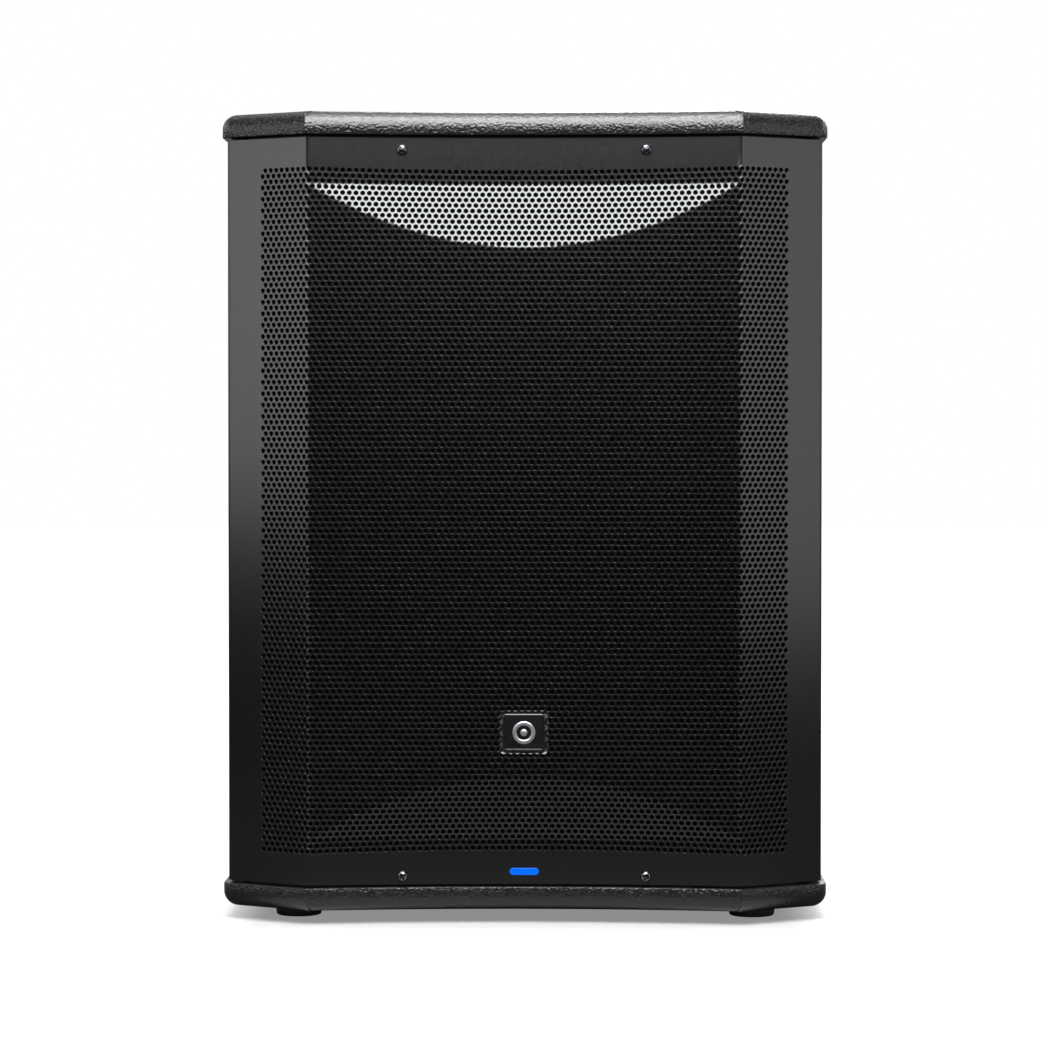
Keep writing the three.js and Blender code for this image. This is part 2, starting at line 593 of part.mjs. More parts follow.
// ---------- The amplifier, in the back ----------
// Places on the plate: x to the right seen from the front, z up.
const SCREEN = { x: 55, z: 492, width: 66, height: 38 };
const ENCODER = { x: -62, z: 492 };
const BUTTONS = [
  { name: 'select_button', x: -8, z: 502 },
  { name: 'back_button', x: -8, z: 482 },
];
const INPUTS = [
  { letter: 'a', x: 88, knobX: 32, z: 422 },
  { letter: 'b', x: -88, knobX: -32, z: 422 },
];
const OUTPUTS = [
  { letter: 'a', x: 88, z: 358 },
  { letter: 'b', x: -88, z: 358 },
];
const INLET = { x: 60, z: 158, width: 50, height: 42 };
const ROCKER = { x: -60, z: 158, width: 19, height: 27 };
const FINS = { z0: 205, z1: 315, width: 230, count: 17, height: 13 };
const JACK = { width: 26, height: 31, barrel: 11.8, flange: 2 };

function addPlate() {
  const plate = prismY(roundedRect(AMP_WIDTH, AMP_HEIGHT, 8, 0, AMP_Z), PLATE_INNER_Y, PLATE_Y, 3);
  const through = [PLATE_INNER_Y - 1, PLATE_Y + 1];
  const rect = ({ x, z, width, height }, spare) => prismY(
    roundedRect(width + spare, height + spare, 1.5, x, z), ...through, 2);
  const hole = (x, z, radius) => rodY(radius, ...through, x, z, SMALL_STEPS);
  const holes = [
    rect(SCREEN, 0.8), rect({ ...INLET, width: 44, height: 36 }, 0.8), rect(ROCKER, 1.6),
    hole(ENCODER.x, ENCODER.z, 4), ...BUTTONS.map(({ x, z }) => hole(x, z, 5)),
    ...INPUTS.map(({ knobX, z }) => hole(knobX, z, 3.8)),
    ...[...INPUTS, ...OUTPUTS].map(({ x, z }) => hole(x, z, JACK.barrel + 0.4)),
    ...INPUTS.map(({ x, z }) => rect({ x, z: z + 12.6, width: 9, height: 4 }, 0)),
  ];
  piece('amp_plate', cut(plate, ...holes), 0x1c1d1f, 0.5, 0.7);
}

function addHeatsink() {
  const { z0, z1, width, count, height } = FINS;
  const base = box([-width / 2, PLATE_Y + GAP, z0], [width / 2, PLATE_Y + 3, z1]);
  const pitch = (width - 3) / (count - 1);
  const fins = Array.from({ length: count }, (_, k) => {
    const x = -width / 2 + k * pitch;
    return box([x, PLATE_Y + 2, z0], [x + 3, PLATE_Y + height, z1]);
  });
  piece('heatsink', join(base, ...fins), 0x141416, 0.45, 0.8);
}

function addAmpInside() {
  const [w, h] = [AMP_WIDTH / 2 - 12, AMP_HEIGHT / 2 - 12];
  const [deep, wall] = [96, 2];
  const outer = box([-w, PLATE_INNER_Y - deep, AMP_Z - h], [w, PLATE_INNER_Y - GAP, AMP_Z + h]);
  const inner = box(
    [-w + wall, PLATE_INNER_Y - deep + wall, AMP_Z - h + wall],
    [w - wall, PLATE_INNER_Y + 1, AMP_Z + h - wall],
  );
  piece('amp_tub', cut(outer, inner), 0x8f9396, 0.4, 0.9);

  const boardY = PLATE_INNER_Y - 60;
  const capacitor = (x, z) => rodY(12, boardY - 25, boardY, x, z, TINY_STEPS);
  const board = box([-118, boardY, 340], [118, boardY + 1.6, 515]);
  const coils = [-70, 0, 70].map((x) => box([x - 14, boardY - 20, 470], [x + 14, boardY + 0.5, 500]));
  piece('amp_board', join(board, ...coils, capacitor(-40, 400), capacitor(40, 400)), 0x1d4a2c, 0.6);
  const supply = box([-118, boardY, 140], [118, boardY + 1.6, 330]);
  const transformer = box([-38, boardY - 26, 215], [38, boardY + 0.5, 285]);
  const reservoirs = [-90, 90].map((x) => capacitor(x, 290));
  piece('power_supply', join(supply, transformer, ...reservoirs), 0x1d4a2c, 0.6);
}

function addSockets() {
  const flangeAt = (x, z) => prismY(
    roundedRect(JACK.width, JACK.height, 3, x, z), PLATE_Y + GAP, PLATE_Y + GAP + JACK.flange, 3);
  const front = PLATE_Y + GAP + JACK.flange;
  for (const { letter, x, z } of INPUTS) {
    const barrel = rodY(JACK.barrel, front - 30, front - 1, x, z, SMALL_STEPS);
    const phone = rodY(3.5, front - 28, front + 1, x, z, TINY_STEPS);
    const pins = [[0, -5.6], [-5.6, 2.4], [5.6, 2.4]].map(([dx, dz]) =>
      rodY(1.5, front - 14, front + 1, x + dx, z + dz, TINY_STEPS));
    const shellGap = turnedY([[8, front - 14], [9.4, front - 14], [9.4, front + 1], [8, front + 1]], x, z, SMALL_STEPS, true);
    const slot = box([x - 4.2, front - 12, z + 10.9], [x + 4.2, front + 1, z + 14.3]);
    piece(`input_jack_${letter}`, cut(join(flangeAt(x, z), barrel), phone, ...pins, shellGap, slot), 0x18181a, 0.5);
    const latch = join(
      box([x - 3.7, front - 8, z + 11.4], [x + 3.7, front + 1.8, z + 13.8]),
      box([x - 2, front + 1, z + 11.4], [x + 2, front + 2.4, z + 13.8]),
    );
    piece(`input_latch_${letter}`, latch, 0xa8acb0, 0.3, 0.9);
  }
  for (const { letter, x, z } of OUTPUTS) {
    const barrel = rodY(JACK.barrel, front - 24, front - 1, x, z, SMALL_STEPS);
    const well = rodY(9.6, front - 17, front + 1, x, z, SMALL_STEPS);
    const pins = [[0, -3.9], [-3.9, 2.2], [3.9, 2.2]].map(([dx, dz]) =>
      rodY(1.2, front - 18, front - 8, x + dx, z + dz, TINY_STEPS));
    piece(`output_jack_${letter}`, join(cut(join(flangeAt(x, z), barrel), well), ...pins), 0x1c1c1e, 0.4, 0.6);
  }
}

function knob(x, z, radius, base, height) {
  return turnedY([
    [0, base], [radius, base], [radius - 0.8, base + height - 1.2], [radius - 2, base + height], [0, base + height],
  ], x, z, SMALL_STEPS);
}

function addControls() {
  const screenY = PLATE_Y - 1.4;
  const screen = roundedRect(SCREEN.width, SCREEN.height, 2, SCREEN.x, SCREEN.z);
  piece('display_window', prismY(screen, screenY - 3, screenY, 2), 0x0a1018, 0.1);

  for (const { letter, knobX, z } of INPUTS) {
    const cap = knob(knobX, z, 7.5, PLATE_Y + 1.2, 12);
    const shaft = rodY(3, PLATE_INNER_Y - 12, PLATE_Y + 2, knobX, z, SMALL_STEPS);
    const pointer = box([knobX - 0.6, PLATE_Y + 12, z + 1], [knobX + 0.6, PLATE_Y + 13.8, z + 5.4]);
    piece(`level_knob_${letter}`, join(cap, shaft, pointer), 0x1a1a1c, 0.5);
  }
  const stem = PLATE_Y + 10;
  piece('menu_encoder_shaft', rodY(3, PLATE_INNER_Y - 14, stem, ENCODER.x, ENCODER.z, SMALL_STEPS), 0x9aa0a4, 0.35, 0.9);
  const bore = rodY(3.3, PLATE_Y, stem + 0.4, ENCODER.x, ENCODER.z, SMALL_STEPS);
  const dimple = rodY(1.6, PLATE_Y + 12.6, PLATE_Y + 16, ENCODER.x, ENCODER.z + 6.4, TINY_STEPS);
  const wheel = cut(knob(ENCODER.x, ENCODER.z, 11, PLATE_Y + 1.6, 12), bore, dimple);
  piece('menu_encoder_knob', wheel, 0x1a1a1c, 0.45);

  for (const { name, x, z } of BUTTONS) {
    const stemBody = rodY(2, PLATE_INNER_Y - 6, PLATE_INNER_Y - 0.5, x, z, TINY_STEPS);
    const cap = turnedY([
      [0, PLATE_INNER_Y - 1], [4.5, PLATE_INNER_Y - 1], [4.5, PLATE_Y + 2.4], [3.9, PLATE_Y + 3], [0, PLATE_Y + 3],
    ], x, z, SMALL_STEPS);
    piece(name, join(cap, stemBody), 0x2a2b2d, 0.6);
  }
}

function addMainsInlet() {
  const { x, z, width, height } = INLET;
  const face = PLATE_Y + GAP + 2;
  const flange = prismY(roundedRect(width, height, 3, x, z), PLATE_Y + GAP, face, 3);
  const body = prismY(roundedRect(44, 36, 2, x, z), face - 26, face - 1, 2);
  const wellZ = z + 6.5;
  const well = prismY(roundedRect(24.6, 16.6, 2, x, wellZ), face - 17, face + 1, 2);
  const blades = [[0, 2.8], [-7, -1.8], [7, -1.8]].map(([dx, dz]) =>
    box([x + dx - 1, face - 18, wellZ + dz - 2], [x + dx + 1, face - 6, wellZ + dz + 2]));
  const slotZ = z - 11;
  const slot = box([x - 14.4, face - 21, slotZ - 4.6], [x + 14.4, face + 1, slotZ + 4.6]);
  piece('power_inlet', join(cut(join(flange, body), well, slot), ...blades), 0x141414, 0.6);
  const drawer = join(
    box([x - 14, face - 20, slotZ - 4.2], [x + 14, face + 0.6, slotZ + 4.2]),
    box([x - 6, face + 0.5, slotZ - 3], [x + 6, face + 2, slotZ - 1.4]),
  );
  piece('fuse_drawer', drawer, 0x161616, 0.55);
}

// The rocker is stored tipped one way; its pin lies along X, just behind the plate's face.
function addPowerRocker() {
  const { x, z, width, height } = ROCKER;
  const tip = THREE.MathUtils.degToRad(8);
  const half = height / 2 - 0.8;
  const shape = new THREE.Shape();
  shape.moveTo(-7, -half * 0.8);
  shape.lineTo(2.6, -half);
  shape.lineTo(1.4, 0);
  shape.lineTo(2.6, half);
  shape.lineTo(-7, half * 0.8);
  const options = { depth: width - 1, bevelEnabled: false };
  const turn = new THREE.Matrix4().makeBasis(
    new THREE.Vector3(0, 1, 0), new THREE.Vector3(0, 0, 1), new THREE.Vector3(1, 0, 0));
  const body = new THREE.ExtrudeGeometry(shape, options).applyMatrix4(turn)
    .translate(-(width - 1) / 2, 0, 0).rotateX(tip).translate(x, PLATE_Y, z);
  piece('power_rocker', solid(body), 0x1a1a1a, 0.4);
}

// The lead from the amplifier's tub, through the brace's lower window, to the driver's terminals.
function addSpeakerLead() {
  const route = new THREE.CatmullRomCurve3([
    [-90, 168, 270], [-96, 140, 272], [-112, 80, 280], [-124, 10, 296],
    [-130, -60, 322], [-133, -105, 352], [-126, -132, 374], [-119.5, -142, 379],
  ].map((point) => new THREE.Vector3(...point)));
  const section = new THREE.Shape().absarc(0, 0, 3.5, 0, 2 * Math.PI);
  const lead = new THREE.ExtrudeGeometry(section, { steps: 28, extrudePath: route, curveSegments: 4 });
  piece('speaker_lead', solid(lead), 0x0d0d0d, 0.6);
}

addEndBoards();
addSideBoards();
addInnerBoards();
addGrilleRails();
addGrille();
addFeet();
addPoleCup();
addHandles();
addDriver();
addPorts();
addPlate();
addHeatsink();
addAmpInside();
addSockets();
addControls();
addMainsInlet();
addPowerRocker();
addSpeakerLead();

export default pieces;
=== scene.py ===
"""Powered subwoofer cabinet: the looks of its pieces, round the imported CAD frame. Metres, +Z up, the front faces -Y."""
import math

import bmesh
import bpy
import numpy as np
from mathutils import Matrix, Vector
from mathutils.geometry import tessellate_polygon


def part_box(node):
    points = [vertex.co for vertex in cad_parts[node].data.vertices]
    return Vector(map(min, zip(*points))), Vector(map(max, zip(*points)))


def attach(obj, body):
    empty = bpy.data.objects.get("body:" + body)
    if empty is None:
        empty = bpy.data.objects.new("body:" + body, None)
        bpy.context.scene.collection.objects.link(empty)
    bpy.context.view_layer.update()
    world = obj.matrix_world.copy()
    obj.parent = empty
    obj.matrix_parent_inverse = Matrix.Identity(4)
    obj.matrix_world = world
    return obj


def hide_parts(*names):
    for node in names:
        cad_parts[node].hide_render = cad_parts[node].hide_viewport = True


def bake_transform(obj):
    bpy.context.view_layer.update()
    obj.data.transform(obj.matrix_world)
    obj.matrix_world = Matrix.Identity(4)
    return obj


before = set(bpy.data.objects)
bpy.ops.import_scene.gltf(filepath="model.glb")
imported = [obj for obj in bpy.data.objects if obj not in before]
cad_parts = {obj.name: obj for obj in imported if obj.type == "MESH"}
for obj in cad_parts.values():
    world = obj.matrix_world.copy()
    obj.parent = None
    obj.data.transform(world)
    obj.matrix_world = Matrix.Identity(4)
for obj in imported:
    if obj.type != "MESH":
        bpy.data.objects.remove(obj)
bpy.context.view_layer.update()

MM = 0.001

# ---------- Places and sizes, from the frame ----------
GRILLE_LOW, GRILLE_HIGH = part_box("grille")
TOP_LOW, TOP_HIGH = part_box("top_panel")
BOTTOM_LOW, BOTTOM_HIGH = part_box("bottom_panel")
RIDGE_Y = GRILLE_LOW.y
HALF_BODY = GRILLE_HIGH.x
HALF_SLAB = TOP_HIGH.x
FRONT_Y, BACK_Y = TOP_LOW.y, TOP_HIGH.y
LIP = RIDGE_Y - FRONT_Y

RIDGE_X = 163.5 * MM
WING_ANGLE = math.radians(30.5)
WING = (HALF_BODY - RIDGE_X) / math.cos(WING_ANGLE)
HOLLOW = 14 * MM
FACET_HEIGHT = 48.5 * MM
FACET_TILT = math.atan2(HOLLOW, FACET_HEIGHT)
FACET_EDGE_TOP = 561.5 * MM
FACET_EDGE_BOTTOM = 64.8 * MM
FOLD_MIDDLE = (FACET_EDGE_TOP + FACET_EDGE_BOTTOM) / 2
FOLD_HALF = (FACET_EDGE_TOP - FACET_EDGE_BOTTOM) / 2
FOLD_RADIUS = 2.2 * MM
SHEET = 1.4 * MM

HOLE_RADIUS = 1.75 * MM
HOLE_PITCH = 5.03 * MM
ROW_PITCH = 4.347 * MM
ROWS, COLUMNS = 120, 82
WING_COLUMNS = 8
PATTERN_RISE = 0.8 * MM  # the holes' middle over the middle of the folds
HOLE_SIDES = 10
PUNCH_ROUND = 0.28 * MM


# ---------- Camera, floor and light ----------
def place_camera():
    """Three metres in front, a little right of the middle and above it, with a long lens."""
    place = Vector((0.0410, -3.0334, 0.3710))
    turn, nod = math.radians(0.853), math.radians(-1.388)
    camera = bpy.data.cameras.new("camera")
    camera.lens = 124.94
    camera.sensor_width = 36
    camera.clip_end = 100
    holder = bpy.data.objects.new("camera", camera)
    holder.location = place
    holder.rotation_euler = (math.pi / 2 + nod, 0, turn)
    bpy.context.scene.collection.objects.link(holder)
    bpy.context.scene.camera = holder


def add_softbox(name, place, aim, size, power, tint=(1, 1, 1)):
    lamp = bpy.data.lights.new(name, "AREA")
    lamp.shape = "RECTANGLE"
    lamp.size, lamp.size_y = size
    lamp.energy = power
    lamp.color = tint
    holder = bpy.data.objects.new(name, lamp)
    holder.location = place
    holder.rotation_euler = (Vector(aim) - Vector(place)).to_track_quat("-Z", "Y").to_euler()
    holder.visible_camera = False
    bpy.context.scene.collection.objects.link(holder)


def ramp(tree, value, start, end, low, high, smooth=False):
    """value between start and end, stretched to run from low to high."""
    node = tree.nodes.new("ShaderNodeMapRange")
    if smooth:
        node.interpolation_type = "SMOOTHSTEP"
    for key, number in (("From Min", start), ("From Max", end), ("To Min", low), ("To Max", high)):
        node.inputs[key].default_value = number
    tree.links.new(value, node.inputs["Value"])
    return node.outputs["Result"]


def light_world():
    """White to the eye, and a faint glow, stronger from behind, on the object."""
    world = bpy.data.worlds.new("studio")
    bpy.context.scene.world = world
    world.use_nodes = True
    nodes, links = world.node_tree.nodes, world.node_tree.links
    nodes.clear()
    coords = nodes.new("ShaderNodeTexCoord")
    split = nodes.new("ShaderNodeSeparateXYZ")
    links.new(coords.outputs["Generated"], split.inputs[0])
    behind = ramp(world.node_tree, split.outputs["Y"], -0.25, 0.5, 0.02, 0.55, smooth=True)
    glow, white = nodes.new("ShaderNodeBackground"), nodes.new("ShaderNodeBackground")
    links.new(behind, glow.inputs["Strength"])
    glow.inputs["Color"].default_value = white.inputs["Color"].default_value = (1, 1, 1, 1)
    rays = nodes.new("ShaderNodeLightPath")
    mix = nodes.new("ShaderNodeMixShader")
    links.new(rays.outputs["Is Camera Ray"], mix.inputs[0])
    links.new(glow.outputs[0], mix.inputs[1])
    links.new(white.outputs[0], mix.inputs[2])
    out = nodes.new("ShaderNodeOutputWorld")
    links.new(mix.outputs[0], out.inputs["Surface"])


def add_stage(name, low, high, z, colour, glow=0.0):
    """A flat rectangle of the studio, from corner low to corner high."""
    mesh = bpy.data.meshes.new(name)
    corners = [(low[0], low[1], z), (high[0], low[1], z), (high[0], high[1], z), (low[0], high[1], z)]
    mesh.from_pydata(corners, [], [(0, 1, 2, 3)])
    piece = bpy.data.objects.new(name, mesh)
    bpy.context.scene.collection.objects.link(piece)
    paint = bpy.data.materials.new(name)
    paint.use_nodes = True
    shader = paint.node_tree.nodes["Principled BSDF"]
    shader.inputs["Base Color"].default_value = (colour, colour, colour, 1)
    shader.inputs["Roughness"].default_value = 0.9
    shader.inputs["Emission Color"].default_value = (1, 1, 1, 1)
    shader.inputs["Emission Strength"].default_value = glow
    mesh.materials.append(paint)
    return piece


def floor_glow_with_painted_shade(material):
    """Painted shade: the floor's glow is low under the object and grows outwards, so the floor is painted darker close
    under it.
    """
    nodes, links = material.node_tree.nodes, material.node_tree.links
    coords, split = nodes.new("ShaderNodeTexCoord"), nodes.new("ShaderNodeSeparateXYZ")
    links.new(coords.outputs["Object"], split.inputs[0])
    beyond = nodes.new("ShaderNodeMath")
    beyond.operation = "MAXIMUM"
    for slot, (axis, half) in enumerate((("X", 0.86 * HALF_SLAB), ("Y", -FRONT_Y))):
        share = nodes.new("ShaderNodeMath")
        share.operation = "DIVIDE"
        share.inputs[1].default_value = half
        size = nodes.new("ShaderNodeMath")
        size.operation = "ABSOLUTE"
        links.new(split.outputs[axis], share.inputs[0])
        links.new(share.outputs[0], size.inputs[0])
        links.new(size.outputs[0], beyond.inputs[slot])
    # painted shade: the glow falls from 1.1 far out to 0.27 under the object
    glow = ramp(material.node_tree, beyond.outputs[0], 0.98, 1.4, 0.27, 1.1, smooth=True)
    links.new(glow, nodes["Principled BSDF"].inputs["Emission Strength"])


def set_floor():
    """A white floor that the eye sees, with painted shade under the object, and the dimmer one and the cards whose
    light reaches the object.
    """
    low, high = (-12, -12), (12, 12)
    floor = add_stage("floor", low, high, 0, 0.2)
    floor_glow_with_painted_shade(floor.data.materials[0])
    floor.visible_diffuse = floor.visible_glossy = floor.visible_shadow = False
    grey = 0.035
    dim_floor = add_stage("dim_floor", low, high, -0.5 * MM, grey)
    card = add_stage("reflector_card", (-0.36, -0.45), (0.36, -0.345), -0.2 * MM, grey, 0.4)
    near_card = add_stage("near_card", (-0.23, -0.345), (0.23, -0.27), -0.2 * MM, grey, 0.8)
    dim_floor.visible_camera = card.visible_camera = near_card.visible_camera = False


bpy.context.scene.view_settings.view_transform = "Standard"
place_camera()
light_world()
set_floor()
add_softbox("front_box", (0.0, -1.35, 1.30), (0, -0.28, 0.54), (1.5, 0.55), 54, (0.965, 0.985, 1.0))
add_softbox("high_box", (0.0, -0.80, 1.75), (0, -0.28, 0.60), (1.1, 0.7), 56)
add_softbox("left_box", (-1.15, -0.85, 0.63), (-0.2, -0.26, 0.45), (0.7, 0.7), 4.3)
add_softbox("right_box", (1.2, -0.85, 0.53), (0.2, -0.26, 0.42), (0.7, 0.75), 3.2)
add_softbox("top_box", (0.0, 0.1, 2.2), (0, 0.0, 0.6), (1.6, 1.0), 14)
add_softbox("band_box", (0.0, -1.5, 0.88), (0, -0.28, 0.59), (0.8, 0.30), 1.6)
add_softbox("side_box_left", (-2.0, 0.5, 1.1), (-0.23, 0.05, 0.35), (1.0, 1.0), 7)
add_softbox("side_box_right", (2.0, 0.5, 1.1), (0.23, 0.05, 0.35), (1.0, 1.0), 7)
add_softbox("rear_box", (0.6, 2.2, 1.5), (0, 0.27, 0.35), (1.6, 1.0), 40)


# ---------- Materials ----------
class Finish:
    """A node-made material: a base colour with mottling, a varied roughness and up to two grains of bump."""

    def __init__(self, name, colour, roughness, metallic=0.0):
        self.material = bpy.data.materials.new(name)
        self.material.use_nodes = True
        self.nodes = self.material.node_tree.nodes
        self.links = self.material.node_tree.links
        self.shader = self.nodes["Principled BSDF"]
        self.shader.inputs["Metallic"].default_value = metallic
        self.coords = self.nodes.new("ShaderNodeTexCoord").outputs["Object"]
        self.normal = None
        self.colour, self.roughness = colour, roughness

    def noise(self, size, detail=3.0, stretch=None):
        """A cloudy value whose features are about size metres across, drawn out along an axis by stretch."""
        source = self.coords
        if stretch:
            mapping = self.nodes.new("ShaderNodeMapping")
            mapping.inputs["Scale"].default_value = stretch
            self.links.new(source, mapping.inputs["Vector"])
            source = mapping.outputs["Vector"]
        texture = self.nodes.new("ShaderNodeTexNoise")
        texture.inputs["Scale"].default_value = 1 / size
        texture.inputs["Detail"].default_value = detail
        self.links.new(source, texture.inputs["Vector"])
        return texture.outputs["Fac"]

    def cells(self, size, feature="F1"):
        texture = self.nodes.new("ShaderNodeTexVoronoi")
        texture.feature = feature
        texture.inputs["Scale"].default_value = 1 / size
        if feature == "SMOOTH_F1":
            texture.inputs["Smoothness"].default_value = 0.6
        self.links.new(self.coords, texture.inputs["Vector"])
        return texture.outputs["Distance"]

    def spread(self, value, low, high):
        """A texture's usual range, stretched to run from low to high."""
        return ramp(self.material.node_tree, value, 0.3, 0.7, low, high)

    def mottle(self, value, amount):
        """The base colour, darker and lighter by amount where value is low and high."""
        node = self.nodes.new("ShaderNodeMix")
        node.data_type = "RGBA"
        node.inputs["A"].default_value = (*[c * (1 - amount) for c in self.colour], 1)
        node.inputs["B"].default_value = (*[c * (1 + amount) for c in self.colour], 1)
        self.links.new(self.spread(value, 0, 1), node.inputs["Factor"])
        self.links.new(node.outputs["Result"], self.shader.inputs["Base Color"])

    def vary_roughness(self, value, amount):
        low, high = self.roughness - amount, self.roughness + amount
        self.links.new(self.spread(value, low, high), self.shader.inputs["Roughness"])

    def bump(self, value, height, strength):
        """A relief of value, height deep, over any bump made before."""
        node = self.nodes.new("ShaderNodeBump")
        node.inputs["Strength"].default_value = strength
        node.inputs["Distance"].default_value = height
        self.links.new(value, node.inputs["Height"])
        if self.normal is not None:
            self.links.new(self.normal, node.inputs["Normal"])
        self.normal = node.outputs["Normal"]
        self.links.new(self.normal, self.shader.inputs["Normal"])


def pebbled_paint():
    """Thick textured coating: rounded pebbles a couple of millimetres across, with a fine skin over them."""
    finish = Finish("textured_paint", (0.004, 0.004, 0.0045), 0.21)
    finish.shader.inputs["Specular IOR Level"].default_value = 0.42
    pebbles = finish.noise(2.0 * MM, 2.5)
    finish.mottle(finish.noise(14 * MM, 2), 0.2)
    finish.vary_roughness(finish.noise(5 * MM, 2), 0.06)
    finish.bump(pebbles, 0.9 * MM, 0.85)
    finish.bump(finish.cells(1.5 * MM, "SMOOTH_F1"), 0.25 * MM, 0.5)
    return finish.material


def powder_coat(name="grille_coat", colour=(0.0010, 0.0011, 0.0014), roughness=0.225):
    finish = Finish(name, colour, roughness)
    finish.mottle(finish.noise(9 * MM, 3), 0.12)
    finish.vary_roughness(finish.noise(3 * MM, 2), 0.02)
    finish.bump(finish.noise(0.45 * MM, 2), 0.015 * MM, 0.6)
    return finish.material


def moulded(name, colour, roughness, grain, depth):
    finish = Finish(name, colour, roughness)
    finish.mottle(finish.noise(12 * MM, 3), 0.12)
    finish.vary_roughness(finish.noise(4 * MM, 2), 0.05)
    finish.bump(finish.noise(grain, 2), depth, 0.7)
    return finish.material


def grained(name, colour, roughness, metallic, grain, mottle, vary, height, strength):
    """One noise, with grain = (size, detail[, stretch]), drives the colour, the roughness and the bump."""
    finish = Finish(name, colour, roughness, metallic)
    value = finish.noise(*grain)
    finish.mottle(value, mottle)
    finish.vary_roughness(value, vary)
    finish.bump(value, height, strength)
    return finish.material


def brushed(name, colour, roughness, metallic=1.0, along=(1, 30, 30)):
    return grained(name, colour, roughness, metallic, (2 * MM, 4, along), 0.15, 0.1, 0.01 * MM, 0.5)


def foam_skin():
    finish = Finish("foam_skin", (0.0015, 0.0015, 0.0015), 0.95)
    finish.mottle(finish.cells(1.2 * MM), 0.5)
    finish.shader.inputs["Specular IOR Level"].default_value = 0.05
    finish.vary_roughness(finish.noise(2 * MM), 0.04)
    finish.bump(finish.cells(0.9 * MM), 0.5 * MM, 1.0)
    return finish.material


def pressed_fibre():
    finish = Finish("pressed_fibre", (0.016, 0.016, 0.016), 0.7)
    finish.mottle(finish.noise(1.5 * MM, 5), 0.4)
    finish.vary_roughness(finish.noise(3 * MM), 0.08)
    finish.bump(finish.noise(0.8 * MM, 5), 0.12 * MM, 0.8)
    return finish.material


def glowing(name, colour, strength):
    finish = Finish(name, [c * 0.05 for c in colour], 0.25)
    finish.mottle(finish.noise(6 * MM, 1), 0.3)
    finish.vary_roughness(finish.noise(2 * MM), 0.05)
    finish.shader.inputs["Specular IOR Level"].default_value = 0.08
    finish.shader.inputs["Emission Color"].default_value = (*colour, 1)
    finish.shader.inputs["Emission Strength"].default_value = strength
    return finish.material


PAINT = pebbled_paint()
COAT = powder_coat()
PANEL_COAT = powder_coat("panel_coat", (0.020, 0.021, 0.022), 0.42)
PLY = grained("birch_ply", (0.50, 0.36, 0.21), 0.6, 0.0, (3 * MM, 5, (0.15, 1, 1)), 0.28, 0.08, 0.08 * MM, 0.6)
FOAM = foam_skin()
BLACK_OXIDE = brushed("black_nickel", (0.12, 0.12, 0.13), 0.17)
RUBBER = moulded("foot_rubber", (0.055, 0.055, 0.055), 0.6, 0.8 * MM, 0.05 * MM)
SATIN_METAL = powder_coat("satin_metal", (0.03, 0.03, 0.032), 0.35)
HANDLE_PLASTIC = moulded("handle_plastic", (0.018, 0.018, 0.019), 0.48, 0.7 * MM, 0.1 * MM)
SOCKET_PLASTIC = moulded("socket_plastic", (0.017, 0.017, 0.018), 0.42, 0.4 * MM, 0.03 * MM)
SOFT_TOUCH = moulded("soft_touch", (0.019, 0.019, 0.02), 0.6, 0.3 * MM, 0.02 * MM)
NICKEL = brushed("nickel", (0.62, 0.61, 0.58), 0.28)
GOLD_PIN = brushed("pin_metal", (0.75, 0.66, 0.45), 0.25)
ANODISED = brushed("anodised", (0.022, 0.022, 0.024), 0.42, 0.6, (30, 30, 1))
ALUMINIUM = brushed("mill_aluminium", (0.62, 0.63, 0.65), 0.35)
BOARD_GREEN = moulded("solder_mask", (0.015, 0.11, 0.045), 0.35, 1.2 * MM, 0.03 * MM)
FERRITE = moulded("ferrite", (0.03, 0.03, 0.032), 0.6, 0.5 * MM, 0.06 * MM)
MOTOR_STEEL = brushed("motor_steel", (0.10, 0.10, 0.105), 0.38)
FIBRE = pressed_fibre()
SURROUND_RUBBER = moulded("surround_rubber", (0.009, 0.009, 0.009), 0.5, 1.0 * MM, 0.04 * MM)
BLUE_LIGHT = glowing("blue_light", (0.0, 0.15, 1.0), 0.97)
SCREEN_GLASS = glowing("screen_glass", (0.004, 0.010, 0.022), 0.6)
SCREEN_MARK = glowing("screen_mark", (0.25, 0.62, 0.95), 0.9)
BADGE_PLASTIC = moulded("badge_plastic", (0.002, 0.002, 0.0025), 0.24, 0.5 * MM, 0.01 * MM)
SILVER = brushed("badge_silver", (0.34, 0.34, 0.35), 0.42)
COPPER = grained("copper_winding", (0.55, 0.24, 0.10), 0.3, 1.0, (0.6 * MM, 0, (0.01, 1, 0.01)),
                 0.4, 0.08, 0.1 * MM, 1.0)
SPIDER_CLOTH = grained("spider_cloth", (0.42, 0.28, 0.09), 0.8, 0.0, (0.7 * MM, 1), 0.3, 0.06, 0.2 * MM, 0.9)
LEAD_JACKET = moulded("lead_jacket", (0.012, 0.012, 0.012), 0.5, 1.5 * MM, 0.02 * MM)
# Painted shade: the grille rails are near black so that the gap between grille and boards reads dark
SHADE_DARK_WOOD = moulded("shade_dark_batten", (0.006, 0.006, 0.006), 0.8, 1.5 * MM, 0.1 * MM)
WHITE_INK = moulded("white_ink", (0.62, 0.62, 0.60), 0.5, 0.4 * MM, 0.01 * MM)


# ---------- Mesh tools ----------
def finish_object(name, mesh, material, body="cabinet", replaces=(), sharp=35):
    """Links a mesh as a piece that rides on a body, if one is named, smooth but for edges over sharp degrees."""
    mesh.update()
    if sharp:
        mesh.shade_smooth()
        mesh.set_sharp_from_angle(angle=math.radians(sharp))
    piece = bpy.data.objects.new(name, mesh)
    bpy.context.scene.collection.objects.link(piece)
    for each in material if isinstance(material, list) else [material]:
        mesh.materials.append(each)
    if body:
        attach(piece, body)
    if replaces:
        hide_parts(*replaces)
    return piece


